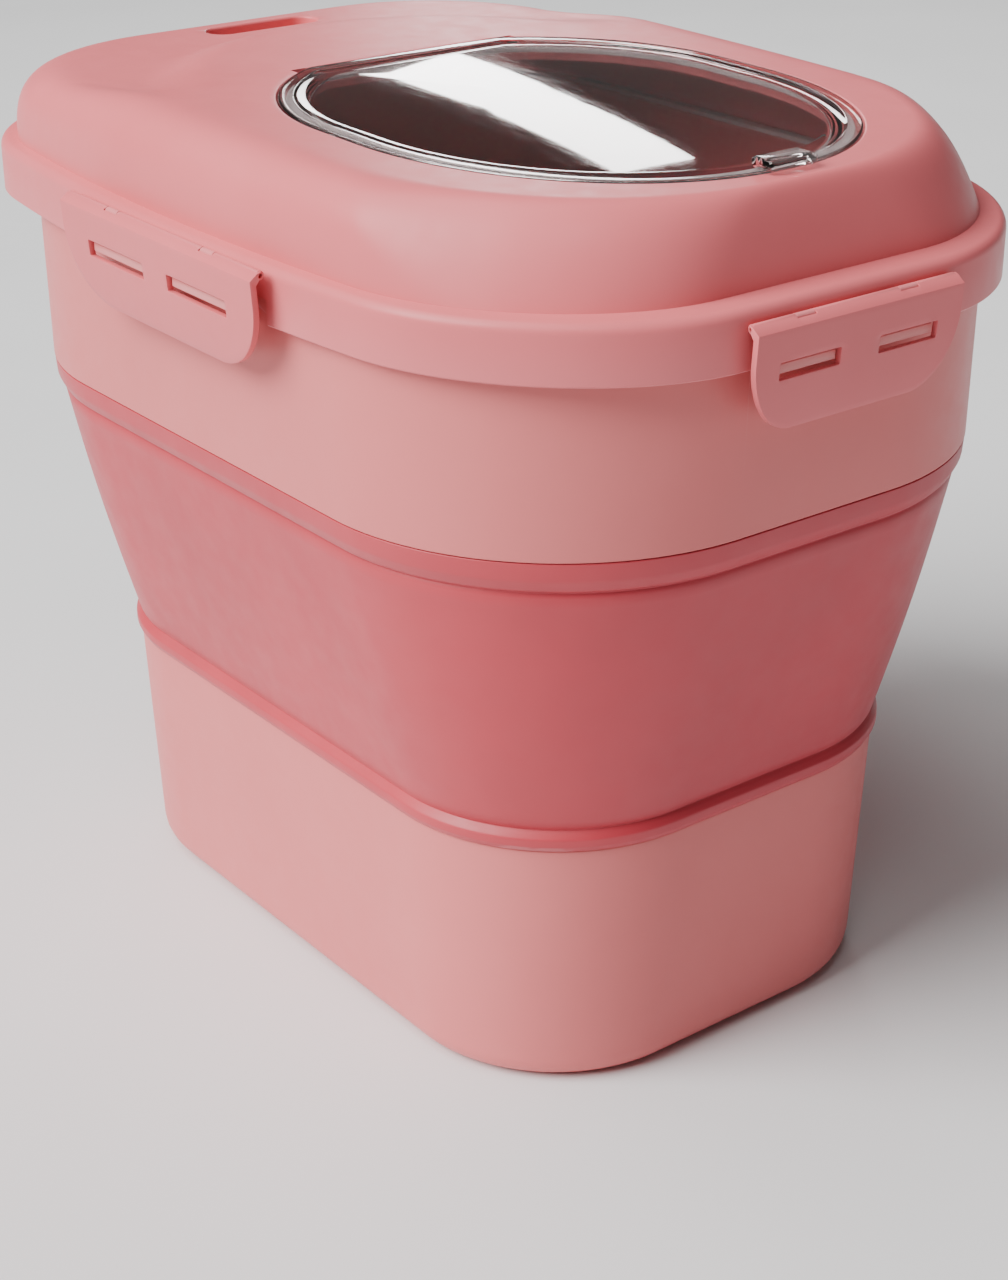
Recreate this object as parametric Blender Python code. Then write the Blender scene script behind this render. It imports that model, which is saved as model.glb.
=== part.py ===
"""Collapsible pet food bin: tub, soft fold band, upper ring, latched lid and flip-up window.

Frame: metres, +Z up, origin on the floor under the middle of the bin. Length runs along Y with
the window's grip at -Y, width along X. Outlines are given by their inset from the lid's edge.
"""

import math

import bmesh
import bpy
from mathutils import Matrix, Vector

# Outlines of the lid and the body.
LID_HALF_WIDTH = 0.1455
LID_HALF_LENGTH = 0.200
LID_FRONT_CORNER = 0.092
LID_REAR_CORNER = 0.060
LID_SIDE_BOW = 0.020
BODY_HALF_WIDTH = 0.1468
BODY_CORNER = 0.110
WALL = 0.0026
GAP = 0.0003
EDGE = 0.0007
CUT_REACH = 0.01

# Heights of the walls, creases and rims.
TUB_TOP = 0.1066
LOWER_CREASE = 0.1152
UPPER_CREASE = 0.2215
RING_BOTTOM = 0.2342
SKIRT_BOTTOM = 0.2993
FLANGE_TOP = 0.3205

TUB_FOOT_INSET = 0.0425
TUB_TOP_INSET = 0.0376
TUB_TOP_RELIEF = 0.0004
TUB_FOOT_FILLET = 0.011
TUB_RIM_STEP = 0.0030
TUB_RIM_TOP = 0.1138
BAND_THICKNESS = 0.0018
BAND_BULGE = 0.0016
PANEL_TOP_INSET = 0.0136
PANEL_CROWN = 0.0012
PANEL_STEPS = 6
CREASE_DEPTH = 0.0011
CREASE_HALF_WIDTH = 0.0016
SHOULDER_STEPS = 3
RING_BOTTOM_INSET = 0.0100
RING_TOP_INSET = 0.0093
RING_RIM_TOP = 0.3150
RING_RIM_WIDTH = 0.0040
RING_RIM_HEIGHT = 0.0030
RING_TONGUE_STEP = 0.0028
RING_TONGUE_BOTTOM = 0.2262

# Lid dome, its raised window deck and the lower platform behind it.
DOME_SIDE_INSET = 0.0065
DOME_FRONT_INSET = 0.0130
DOME_REAR_INSET = 0.0110
DOME_FULLNESS = 0.72
DOME_STEPS = 6
DOME_FRONT_FADE = (-0.09, -0.15)
DOME_FOOT_RISE = 0.0004
DOME_FOOT_FILLET = 0.0010
FLANGE_EDGE_RADIUS = 0.0040
FLANGE_EDGE_STEPS = 3
SEAL_SEAT = (0.3172, 0.3195)
GASKET_OUTER_INSET = 0.0002
GASKET_INNER_INSET = 0.0050
DECK_HALF_WIDTH = 0.113
DECK_FRONT = -0.1750
DECK_REAR = 0.1730
DECK_FRONT_CORNER = 0.100
DECK_REAR_CORNER = 0.075
DECK_SHARES = (0.3, 0.6, 1.0)
DECK_HEIGHT = 0.3543
DECK_SLOPE = 0.012
STEP_DROP = 0.0062
STEP_CENTRE_Y = 0.030
STEP_INNER_RADIUS = 0.090
STEP_OUTER_RADIUS = 0.119
STEP_FADE = (0.040, 0.105)
SLOT_Y = 0.162
SLOT_HALF_LENGTH = 0.027
SLOT_HALF_WIDTH = 0.0075
SLOT_DEPTH = 0.008
NOTCH_END_MARGIN = 0.0040
NOTCH_TOP_RISE = 0.0058
NOTCH_OVERRUN = 0.0020

# Flip-up window.
WINDOW_HALF_WIDTH = 0.097
WINDOW_FRONT = -0.166
WINDOW_FRONT_REACH = 0.112
WINDOW_REAR = 0.0545
WINDOW_RADIUS = 0.0938
WINDOW_REAR_SWEEP = 62.6
WINDOW_LEDGE_DEPTH = 0.0060
WINDOW_LEDGE_WIDTH = 0.0085
WINDOW_REAR_GAP = 0.0015
WINDOW_CLEARANCE = 0.0004
DOOR_ABOVE_DECK = 0.0006
DOOR_RIM_HEIGHT = 0.0042
DOOR_RIM_WIDTH = 0.0060
DOOR_PANE_THICKNESS = 0.0020
DOOR_PANE_CROWN = 0.0030
DOOR_PANE_DROP = 0.0010
DOOR_PANE_MARGIN = 0.0072
DOOR_PANE_STEPS = 3
DOOR_RIM_EDGE = 0.0010
DOOR_AXIS_INSET = 0.0015
GRIP_HALF_WIDTH = 0.0110
GRIP_SPAN = (-0.1710, -0.1595)
GRIP_HEIGHT = 0.0044
GRIP_ROUNDING = 0.0016
GRIP_FOOT_INSET = 0.0020
GRIP_FOOT_DEPTH = 0.0020
GRIP_FOOT_TOP = 0.0015
SEAL_INSET = 0.0030
SEAL_INNER_MARGIN = 0.0005
SEAL_THICKNESS = 0.0018
WINDOW_PIN_RADIUS = 0.0006
WINDOW_PIN_HALF_LENGTH = 0.0565
HINGE_POCKET_HALF_LENGTH = 0.0541
HINGE_POCKET_DEPTH = 0.0030
HINGE_POCKET_FRONT = 0.0036
HINGE_POCKET_FLOOR = 0.0044
HINGE_BLOCK_FRONT = 0.0010
HINGE_BLOCK_SINK = 0.0008

# Latches, measured from the lid's edge: outwards, and down from the latch's top edge.
LATCH_HEIGHT = 0.0366
LATCH_PROUD = 0.0068
LATCH_WALL = 0.0024
LATCH_END_HEIGHT = 0.0100
LATCH_AXIS_OUT = 0.0021
LATCH_AXIS_RISE = 0.0012
LATCH_BARREL = 0.0017
LATCH_BARREL_MARGIN = 0.001
LATCH_PIN_RADIUS = 0.0009
LATCH_PIN_MARGIN = 0.004
LATCH_LEDGE = 0.0020
LATCH_LEAN = 0.0010
LATCH_CURL = 0.0034
LATCH_DISH = 0.0005
LATCH_CORNER_POWER = 1.9
LATCH_SLOT_DROP = 0.0145
LATCH_SLOT_HEIGHT = 0.0064
TONGUE_HEIGHT = 0.0036
TONGUE_REACH = 0.0042
TONGUE_RISE = 0.0004
TONGUE_SIDE_GAP = 0.0010
LUG_WIDTH = 0.008
LUG_CLEARANCE = 0.0004
LUG_ROOT_DEPTH = 0.0016
HOLE_CLEARANCE = 0.00015
LATCHES = {
    "left": dict(half_width=0.067, flat=0.038, slot=0.040, slots_apart=0.057, top=0.3176, turn=-90),
    "right": dict(half_width=0.067, flat=0.038, slot=0.040, slots_apart=0.057, top=0.3176, turn=90),
    "front": dict(half_width=0.048, flat=0.028, slot=0.028, slots_apart=0.046, top=0.3133, turn=0),
    "rear": dict(half_width=0.048, flat=0.028, slot=0.028, slots_apart=0.046, top=0.3133, turn=180),
}

# How finely round shapes are cut.
CORNER_STEPS = 8
LONG_SIDE_STEPS = 4
SHORT_SIDE_STEPS = 2
ROUND_SIDES = 16
FOOT_STEPS = 4
INNER_FOOT_STEPS = 3
LATCH_ROWS = 6
LATCH_SWEEP_STEPS = 6
SHARP_ANGLE = 35

# Colours, linear.
PINK = (0.79, 0.42, 0.42)
LID_PINK = (0.76, 0.37, 0.39)
ROSE = (0.67, 0.21, 0.24)
WHITE = (0.86, 0.85, 0.86)
CLEAR = (0.90, 0.88, 0.88)
STEEL = (0.62, 0.62, 0.64)


def clear_scene():
    for obj in list(bpy.data.objects):
        bpy.data.objects.remove(obj, do_unlink=True)


def material(name, colour, roughness, metallic=0.0, transmission=0.0):
    made = bpy.data.materials.new(name)
    made.use_nodes = True
    shader = made.node_tree.nodes["Principled BSDF"]
    shader.inputs["Base Color"].default_value = (*colour, 1.0)
    shader.inputs["Roughness"].default_value = roughness
    shader.inputs["Metallic"].default_value = metallic
    shader.inputs["Transmission Weight"].default_value = transmission
    return made


def mix(a, b, share):
    return a + (b - a) * share


def smoothstep(low, high, value):
    share = min(1.0, max(0.0, (value - low) / (high - low)))
    return share * share * (3.0 - 2.0 * share)


def quarter(steps):
    """Sine and cosine of evenly spaced angles from 0 to 90 degrees."""
    angles = [math.pi / 2 * step / steps for step in range(steps + 1)]
    return [(math.sin(angle), math.cos(angle)) for angle in angles]


# ---------------------------------------------------------------- outlines


def arc_points(centre, radius, start, end, steps, reach=None):
    """Points on an arc, angles in degrees, both ends included. It may reach further along Y."""
    reach = radius if reach is None else reach
    points = []
    for step in range(steps + 1):
        angle = math.radians(mix(start, end, step / steps))
        points.append((centre[0] + radius * math.cos(angle), centre[1] + reach * math.sin(angle)))
    return points


def join_corners(corners):
    """One closed loop from four corner arcs, with points between them, starting right and rear."""
    between = (SHORT_SIDE_STEPS, LONG_SIDE_STEPS, SHORT_SIDE_STEPS, LONG_SIDE_STEPS)
    loop = []
    for index, corner in enumerate(corners):
        loop.extend(corner)
        start, end = corner[-1], corners[(index + 1) % 4][0]
        for step in range(1, between[index]):
            share = step / between[index]
            loop.append((mix(start[0], end[0], share), mix(start[1], end[1], share)))
    return loop


def box_outline(half_width, front, rear, front_corner, rear_corner, rear_sweep=90.0, reach=None):
    """A rounded rectangle. Its front corners may be stretched, its rear ones stop short."""
    reach = front_corner if reach is None else reach
    right_rear = (half_width - rear_corner, rear - rear_corner * math.sin(math.radians(rear_sweep)))
    right_front = (half_width - front_corner, front + reach)
    left_rear = (-right_rear[0], right_rear[1])
    left_front = (-right_front[0], right_front[1])
    return join_corners(
        [
            arc_points(right_rear, rear_corner, 0, rear_sweep, CORNER_STEPS),
            arc_points(left_rear, rear_corner, 180 - rear_sweep, 180, CORNER_STEPS),
            arc_points(left_front, front_corner, 180, 270, CORNER_STEPS, reach),
            arc_points(right_front, front_corner, 270, 360, CORNER_STEPS, reach),
        ]
    )


def lid_outline(inset, front_inset=None, rear_inset=None):
    """The lid's edge, whose long sides bow out. Its ends may be set in further."""
    front = -LID_HALF_LENGTH + (inset if front_inset is None else front_inset)
    rear = LID_HALF_LENGTH - (inset if rear_inset is None else rear_inset)
    half_width = LID_HALF_WIDTH - inset
    loop = box_outline(half_width, front, rear, LID_FRONT_CORNER - inset, LID_REAR_CORNER - inset)
    return [(x * (1 - LID_SIDE_BOW / LID_HALF_WIDTH * (y / LID_HALF_LENGTH) ** 2), y) for x, y in loop]


def dome_foot(inset):
    return lid_outline(DOME_SIDE_INSET + inset, DOME_FRONT_INSET + inset, DOME_REAR_INSET + inset)


def body_outline(inset):
    half_width, half_length = BODY_HALF_WIDTH - inset, LID_HALF_LENGTH - inset
    corner = BODY_CORNER - inset
    return box_outline(half_width, -half_length, half_length, corner, corner)


def deck_outline():
    return box_outline(DECK_HALF_WIDTH, DECK_FRONT, DECK_REAR, DECK_FRONT_CORNER, DECK_REAR_CORNER)


def window_outline(grow, rear_grow=None):
    """An oval cut straight across at its hinge. That straight edge can be moved on its own."""
    radius = WINDOW_RADIUS + grow
    sweep = WINDOW_REAR_SWEEP
    chord = WINDOW_REAR + grow * math.sin(math.radians(sweep))
    front, half_width = WINDOW_FRONT - grow, WINDOW_HALF_WIDTH + grow
    reach = WINDOW_FRONT_REACH + grow
    loop = box_outline(half_width, front, chord, radius, radius, sweep, reach)
    if rear_grow is None:
        return loop
    return [(x, WINDOW_REAR + rear_grow if y > chord - GAP else y) for x, y in loop]


def at_height(outline, height):
    """Lifts a flat outline, either to one height or to height(x, y)."""
    if callable(height):
        return [(x, y, height(x, y)) for x, y in outline]
    return [(x, y, height) for x, y in outline]


def window_plane(x, y):
    return DECK_HEIGHT + DECK_SLOPE * y


def deck_surface(x, y):
    """The lid's top: a gently sloping deck, stepping down behind the window."""
    radius = math.hypot(x, y - STEP_CENTRE_Y)
    drop = smoothstep(STEP_INNER_RADIUS, STEP_OUTER_RADIUS, radius) * smoothstep(*STEP_FADE, y)
    level = mix(window_plane(x, y), window_plane(0.0, 0.0) + DECK_SLOPE * STEP_FADE[1], drop)
    return level - STEP_DROP * drop


# ---------------------------------------------------------------- mesh helpers


def new_object(name, mesh_data, finish):
    obj = bpy.data.objects.new(name, mesh_data)
    bpy.context.scene.collection.objects.link(obj)
    if finish is not None and not mesh_data.materials:
        mesh_data.materials.append(finish)
    return obj


def mesh_from(name, bm):
    bmesh.ops.recalc_face_normals(bm, faces=bm.faces)
    mesh_data = bpy.data.meshes.new(name)
    bm.to_mesh(mesh_data)
    bm.free()
    mesh_data.shade_smooth()
    mesh_data.set_sharp_from_angle(angle=math.radians(SHARP_ANGLE))
    return mesh_data


def skin(name, loops, finish, tube=False):
    """One closed body through loops of equally many points: its ends are joined, or capped."""
    bm = bmesh.new()
    rings = [[bm.verts.new(point) for point in loop] for loop in loops]
    pairs = list(zip(rings, rings[1:]))
    if tube:
        pairs.append((rings[-1], rings[0]))
    else:
        bm.faces.new(rings[0])
        bm.faces.new(rings[-1])
    for low, high in pairs:
        for index in range(len(low)):
            after = (index + 1) % len(low)
            bm.faces.new((low[index], low[after], high[after], high[index]))
    return new_object(name, mesh_from(name, bm), finish)


def add_box(bm, low, high, place=Matrix()):
    centre = [(a + b) / 2 for a, b in zip(low, high)]
    size = [b - a for a, b in zip(low, high)]
    matrix = place @ Matrix.Translation(centre) @ Matrix.Diagonal((*size, 1.0))
    bmesh.ops.create_cube(bm, size=1.0, matrix=matrix)


def add_rod(bm, radius, start, end, height, out, place=Matrix()):
    """A round bar along local X, from start to end, at the given place across it."""
    matrix = place @ Matrix.Translation(((start + end) / 2, out, height))
    matrix = matrix @ Matrix.Rotation(math.radians(90), 4, "Y")
    bmesh.ops.create_cone(
        bm,
        cap_ends=True,
        segments=ROUND_SIDES,
        radius1=radius,
        radius2=radius,
        depth=end - start,
        matrix=matrix,
    )


def add_slot(bm, half_length, half_width, y, low, high):
    """An upright block with round ends along X."""
    straight = half_length - half_width
    right = arc_points((straight, y), half_width, -90, 90, CORNER_STEPS)
    left = arc_points((-straight, y), half_width, 90, 270, CORNER_STEPS)
    face = bm.faces.new([bm.verts.new((x, y_, low)) for x, y_ in right + left])
    raised = bmesh.ops.extrude_face_region(bm, geom=[face])["geom"]
    corners = [item for item in raised if isinstance(item, bmesh.types.BMVert)]
    bmesh.ops.translate(bm, vec=(0, 0, high - low), verts=corners)


def helper(name, bm):
    """A hidden body that a Boolean reads."""
    obj = new_object(name, mesh_from(name, bm), None)
    obj.hide_render = True
    obj.display_type = "WIRE"
    return obj


def boolean(target, other, operation):
    modifier = target.modifiers.new(f"{operation.lower()} {other.name}", "BOOLEAN")
    modifier.operation = operation
    modifier.solver = "EXACT"
    modifier.object = other


# ---------------------------------------------------------------- body


def lower_tub(finish):
    """An open tub with a rounded foot and a thinner rim that the fold band grips."""
    fillet = TUB_FOOT_FILLET
    loops = []
    for sine, cosine in quarter(FOOT_STEPS):
        inset = TUB_FOOT_INSET + fillet * (1 - sine)
        loops.append(at_height(body_outline(inset), fillet * (1 - cosine)))
    outer = TUB_TOP_INSET + TUB_TOP_RELIEF
    loops.append(at_height(body_outline(outer), TUB_TOP - EDGE))
    loops.append(at_height(body_outline(outer + EDGE), TUB_TOP))
    rim = TUB_TOP_INSET + TUB_RIM_STEP
    loops.append(at_height(body_outline(rim), TUB_TOP))
    loops.append(at_height(body_outline(rim), TUB_RIM_TOP))
    loops.append(at_height(body_outline(rim + WALL), TUB_RIM_TOP))
    foot = TUB_FOOT_INSET + WALL
    inner = fillet - WALL
    for sine, cosine in reversed(quarter(INNER_FOOT_STEPS)):
        inset = foot + inner * (1 - sine)
        loops.append(at_height(body_outline(inset), fillet - inner * cosine))
    return skin("lower_tub", loops, finish)


def panel_line():
    """Insets and heights up the fold panel's outer face, which bows out slightly."""
    low, high = LOWER_CREASE + CREASE_HALF_WIDTH, UPPER_CREASE - CREASE_HALF_WIDTH
    line = []
    for step in range(PANEL_STEPS + 1):
        share = step / PANEL_STEPS
        inset = mix(TUB_TOP_INSET, PANEL_TOP_INSET, share) - PANEL_CROWN * math.sin(math.pi * share)
        line.append((inset, mix(low, high, share)))
    return line


def fold_band(finish):
    """The soft wall between tub and ring: two gripping strips and the panel that turns inside out."""
    low, high = TUB_TOP_INSET, PANEL_TOP_INSET
    strip = LOWER_CREASE - TUB_TOP
    panel = panel_line()
    profile = [
        (low, TUB_TOP + GAP),
        (low - BAND_BULGE, TUB_TOP + strip / 3),
        (low - BAND_BULGE, TUB_TOP + strip * 2 / 3),
        (low, LOWER_CREASE - CREASE_HALF_WIDTH),
        (low + CREASE_DEPTH, LOWER_CREASE),
    ]
    profile += panel
    profile.append((high + CREASE_DEPTH, UPPER_CREASE))
    start = (high - CREASE_DEPTH / 2, UPPER_CREASE + CREASE_HALF_WIDTH)
    end = (RING_BOTTOM_INSET + GAP, RING_BOTTOM - GAP)
    for sine, cosine in quarter(SHOULDER_STEPS):
        profile.append((mix(start[0], end[0], sine), mix(end[1], start[1], cosine)))
    grip = RING_BOTTOM_INSET + RING_TONGUE_STEP - GAP
    profile += [
        (grip, RING_BOTTOM - GAP),
        (grip, RING_TONGUE_BOTTOM - GAP),
        (grip + RING_TONGUE_STEP, RING_TONGUE_BOTTOM - GAP),
        (high + CREASE_DEPTH + BAND_THICKNESS, UPPER_CREASE),
    ]
    profile += [(inset + BAND_THICKNESS, height) for inset, height in reversed(panel)]
    rim = TUB_TOP_INSET + TUB_RIM_STEP - GAP
    profile += [(rim + GAP, TUB_RIM_TOP + CREASE_HALF_WIDTH), (rim, TUB_RIM_TOP), (rim, TUB_TOP + GAP)]
    loops = [at_height(body_outline(inset), height) for inset, height in profile]
    return skin("fold_band", loops, finish, tube=True)


def upper_ring(finish):
    """The rigid ring under the lid. Its lower tongue holds the band, its rim carries the seal."""
    step = RING_BOTTOM_INSET + RING_TONGUE_STEP
    profile = [
        (RING_BOTTOM_INSET + EDGE, RING_BOTTOM),
        (RING_BOTTOM_INSET, RING_BOTTOM + EDGE),
        (RING_TOP_INSET, SKIRT_BOTTOM),
        (RING_TOP_INSET, RING_RIM_TOP - EDGE),
        (RING_TOP_INSET + EDGE, RING_RIM_TOP),
        (RING_TOP_INSET + RING_RIM_WIDTH, RING_RIM_TOP),
        (RING_TOP_INSET + RING_RIM_WIDTH, RING_RIM_TOP - RING_RIM_HEIGHT),
        (RING_TOP_INSET + WALL, RING_RIM_TOP - 2 * RING_RIM_HEIGHT),
        (RING_BOTTOM_INSET + WALL, RING_BOTTOM + 2 * WALL),
        (step + WALL, RING_BOTTOM + EDGE),
        (step + WALL, RING_TONGUE_BOTTOM),
        (step, RING_TONGUE_BOTTOM),
        (step, RING_BOTTOM),
    ]
    loops = [at_height(body_outline(inset), height) for inset, height in profile]
    ring = skin("upper_ring", loops, finish, tube=True)
    tongues = bmesh.new()
    for latch in LATCHES.values():
        place = latch_place(latch)
        body_reach = LID_HALF_LENGTH if latch["turn"] in (0, 180) else BODY_HALF_WIDTH
        root = latch_reach(latch) - body_reach + RING_TOP_INSET + WALL / 2
        middle = latch["top"] - LATCH_SLOT_DROP + TONGUE_RISE
        half = latch["slot"] / 2 - TONGUE_SIDE_GAP
        for side in (-1, 1):
            centre = side * latch["slots_apart"] / 2
            low = (centre - half, -TONGUE_REACH, middle - TONGUE_HEIGHT / 2)
            high = (centre + half, root, middle + TONGUE_HEIGHT / 2)
            add_box(tongues, low, high, place)
    boolean(ring, helper("ring_tongues", tongues), "UNION")
    return ring


# ---------------------------------------------------------------- lid


def dome_section(share_front):
    """Steps up the dome's side: a round shoulder, or a slope under a tight edge in front."""
    section = []
    for step, (sine, cosine) in enumerate(quarter(DOME_STEPS)):
        share = step / DOME_STEPS
        round_in = 1 - abs(cosine) ** DOME_FULLNESS
        round_up = sine**DOME_FULLNESS
        slope_up = 1 - (1 - share) ** 2
        section.append((mix(round_in, share, share_front), mix(round_up, slope_up, share_front)))
    return section


def dome_loops(inset, lift):
    """Loops from the dome's foot to the window, on the lid's top or, lowered, on its underside."""
    foot = dome_foot(inset)
    deck = deck_outline()
    extra = WALL if lift else 0.0
    window = window_outline(WINDOW_CLEARANCE + extra, WINDOW_REAR_GAP + extra)
    foot_height = FLANGE_TOP + DOME_FOOT_RISE - lift
    columns = []
    for (fx, fy), (dx, dy), (wx, wy) in zip(foot, deck, window):
        share_front = smoothstep(*DOME_FRONT_FADE, fy)
        top = deck_surface(dx, dy) - lift
        column = []
        for in_, up in dome_section(share_front):
            column.append((mix(fx, dx, in_), mix(fy, dy, in_), mix(foot_height, top, up)))
        for share in DECK_SHARES:
            x, y = mix(dx, wx, share), mix(dy, wy, share)
            column.append((x, y, deck_surface(x, y) - lift))
        columns.append(column)
    return [list(loop) for loop in zip(*columns)]


def lid_shell(finish):
    """Skirt, flange, dome and the rebated window opening, in one even wall."""
    loops = [at_height(lid_outline(0.0), SKIRT_BOTTOM)]
    for sine, cosine in quarter(FLANGE_EDGE_STEPS):
        inset = FLANGE_EDGE_RADIUS * (1 - cosine)
        loops.append(at_height(lid_outline(inset), FLANGE_TOP - FLANGE_EDGE_RADIUS * (1 - sine)))
    loops.append(at_height(dome_foot(-DOME_FOOT_FILLET), FLANGE_TOP))
    loops += dome_loops(0.0, 0.0)
    ledge = lambda x, y: window_plane(x, y) - WINDOW_LEDGE_DEPTH
    under = lambda x, y: ledge(x, y) - WALL
    loops.append(at_height(window_outline(WINDOW_CLEARANCE, WINDOW_REAR_GAP), ledge))
    loops.append(at_height(window_outline(-WINDOW_LEDGE_WIDTH), ledge))
    loops.append(at_height(window_outline(-WINDOW_LEDGE_WIDTH), under))
    loops.append(at_height(window_outline(WINDOW_CLEARANCE + WALL, WINDOW_REAR_GAP + WALL), under))
    loops += reversed(dome_loops(WALL, WALL))
    loops.append(at_height(dome_foot(WALL - DOME_FOOT_FILLET), FLANGE_TOP - WALL))
    loops.append(at_height(lid_outline(WALL), FLANGE_TOP - WALL))
    loops.append(at_height(lid_outline(WALL), SKIRT_BOTTOM))
    lid = skin("lid_shell", loops, finish, tube=True)
    for addition in lid_additions():
        boolean(lid, addition, "UNION")
    boolean(lid, lid_cuts(), "DIFFERENCE")
    boolean(lid, lid_bores(), "DIFFERENCE")
    return lid


def lid_additions():
    """Latch lugs, the seal's seat, the slot's pocket and the block behind the window's hinge."""
    bm = bmesh.new()
    for latch in LATCHES.values():
        place = latch_place(latch)
        for centre in lug_centres(latch):
            low, high = centre - LUG_WIDTH / 2, centre + LUG_WIDTH / 2
            add_rod(bm, LATCH_BARREL, low, high, latch_axis_height(latch), -LATCH_AXIS_OUT, place)
    lugs = helper("lid_lugs", bm)
    bm = bmesh.new()
    for latch in LATCHES.values():
        for centre in lug_centres(latch):
            height = latch_axis_height(latch)
            low = (centre - LUG_WIDTH / 2, -LATCH_AXIS_OUT, height - LATCH_BARREL)
            high = (centre + LUG_WIDTH / 2, LUG_ROOT_DEPTH, height - LATCH_BARREL / 3)
            add_box(bm, low, high, latch_place(latch))
    boolean(lugs, helper("lid_lug_roots", bm), "UNION")
    bm = bmesh.new()
    surface = deck_surface(0.0, SLOT_Y)
    add_slot(
        bm,
        SLOT_HALF_LENGTH + WALL,
        SLOT_HALF_WIDTH + WALL,
        SLOT_Y,
        surface - SLOT_DEPTH - WALL,
        surface - WALL / 2,
    )
    axis_y, axis_z = window_axis()
    reach = HINGE_POCKET_HALF_LENGTH + 2 * WALL
    low = (-reach, axis_y - HINGE_BLOCK_FRONT, axis_z - WINDOW_LEDGE_DEPTH)
    high = (reach, axis_y + HINGE_POCKET_DEPTH + WALL, window_plane(0.0, axis_y) - HINGE_BLOCK_SINK)
    add_box(bm, low, high)
    seat = ring_seal("lid_seal_seat", None, gasket_outlines(), *SEAL_SEAT)
    seat.hide_render = True
    seat.display_type = "WIRE"
    return lugs, helper("lid_pockets", bm), seat


def lid_cuts():
    """The slot, the skirt's notches at the latches and every pin hole."""
    bm = bmesh.new()
    surface = deck_surface(0.0, SLOT_Y)
    add_slot(bm, SLOT_HALF_LENGTH, SLOT_HALF_WIDTH, SLOT_Y, surface - SLOT_DEPTH, surface + CUT_REACH)
    for latch in LATCHES.values():
        place = latch_place(latch)
        half = latch["half_width"] - NOTCH_END_MARGIN
        low = (-half, -NOTCH_OVERRUN, SKIRT_BOTTOM - NOTCH_OVERRUN)
        high = (half, 3 * WALL, latch["top"] - LATCH_SLOT_DROP + NOTCH_TOP_RISE)
        add_box(bm, low, high, place)
    axis_y, axis_z = window_axis()
    low = (-HINGE_POCKET_HALF_LENGTH, axis_y - HINGE_POCKET_FRONT, axis_z - HINGE_POCKET_FLOOR)
    high = (HINGE_POCKET_HALF_LENGTH, axis_y + HINGE_POCKET_DEPTH, axis_z + CUT_REACH)
    add_box(bm, low, high)
    return helper("lid_cuts", bm)


def lid_bores():
    """The pin holes in the latch lugs and at the ends of the window's hinge pocket."""
    bm = bmesh.new()
    hole = LATCH_PIN_RADIUS + HOLE_CLEARANCE
    for latch in LATCHES.values():
        for centre in lug_centres(latch):
            start, end = centre - LUG_WIDTH, centre + LUG_WIDTH
            height = latch_axis_height(latch)
            add_rod(bm, hole, start, end, height, -LATCH_AXIS_OUT, latch_place(latch))
    axis_y, axis_z = window_axis()
    reach = WINDOW_PIN_HALF_LENGTH + GAP
    add_rod(bm, WINDOW_PIN_RADIUS + HOLE_CLEARANCE, -reach, reach, axis_z, axis_y)
    return helper("lid_bores", bm)


def ring_seal(name, finish, outlines, low, high):
    """A flat seal between two outlines."""
    outer, inner = outlines
    loops = [at_height(outer, low), at_height(outer, high), at_height(inner, high), at_height(inner, low)]
    return skin(name, loops, finish, tube=True)


def gasket_outlines():
    outer, inner = RING_TOP_INSET + GASKET_OUTER_INSET, RING_TOP_INSET + GASKET_INNER_INSET
    return body_outline(outer), body_outline(inner)


def lid_gasket(finish):
    return ring_seal("lid_gasket", finish, gasket_outlines(), RING_RIM_TOP + GAP, SEAL_SEAT[0] - GAP)


# ---------------------------------------------------------------- window


def window_axis():
    """The hinge line's y and z."""
    y = WINDOW_REAR - DOOR_AXIS_INSET
    return y, window_plane(0.0, y) + DOOR_ABOVE_DECK - DOOR_RIM_HEIGHT / 2


def window_seal(finish):
    floor = lambda x, y: window_plane(x, y) - WINDOW_LEDGE_DEPTH + GAP
    top = lambda x, y: floor(x, y) + SEAL_THICKNESS
    outlines = window_outline(-SEAL_INSET), window_outline(SEAL_INNER_MARGIN - WINDOW_LEDGE_WIDTH)
    return ring_seal("window_seal", finish, outlines, floor, top)


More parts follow.
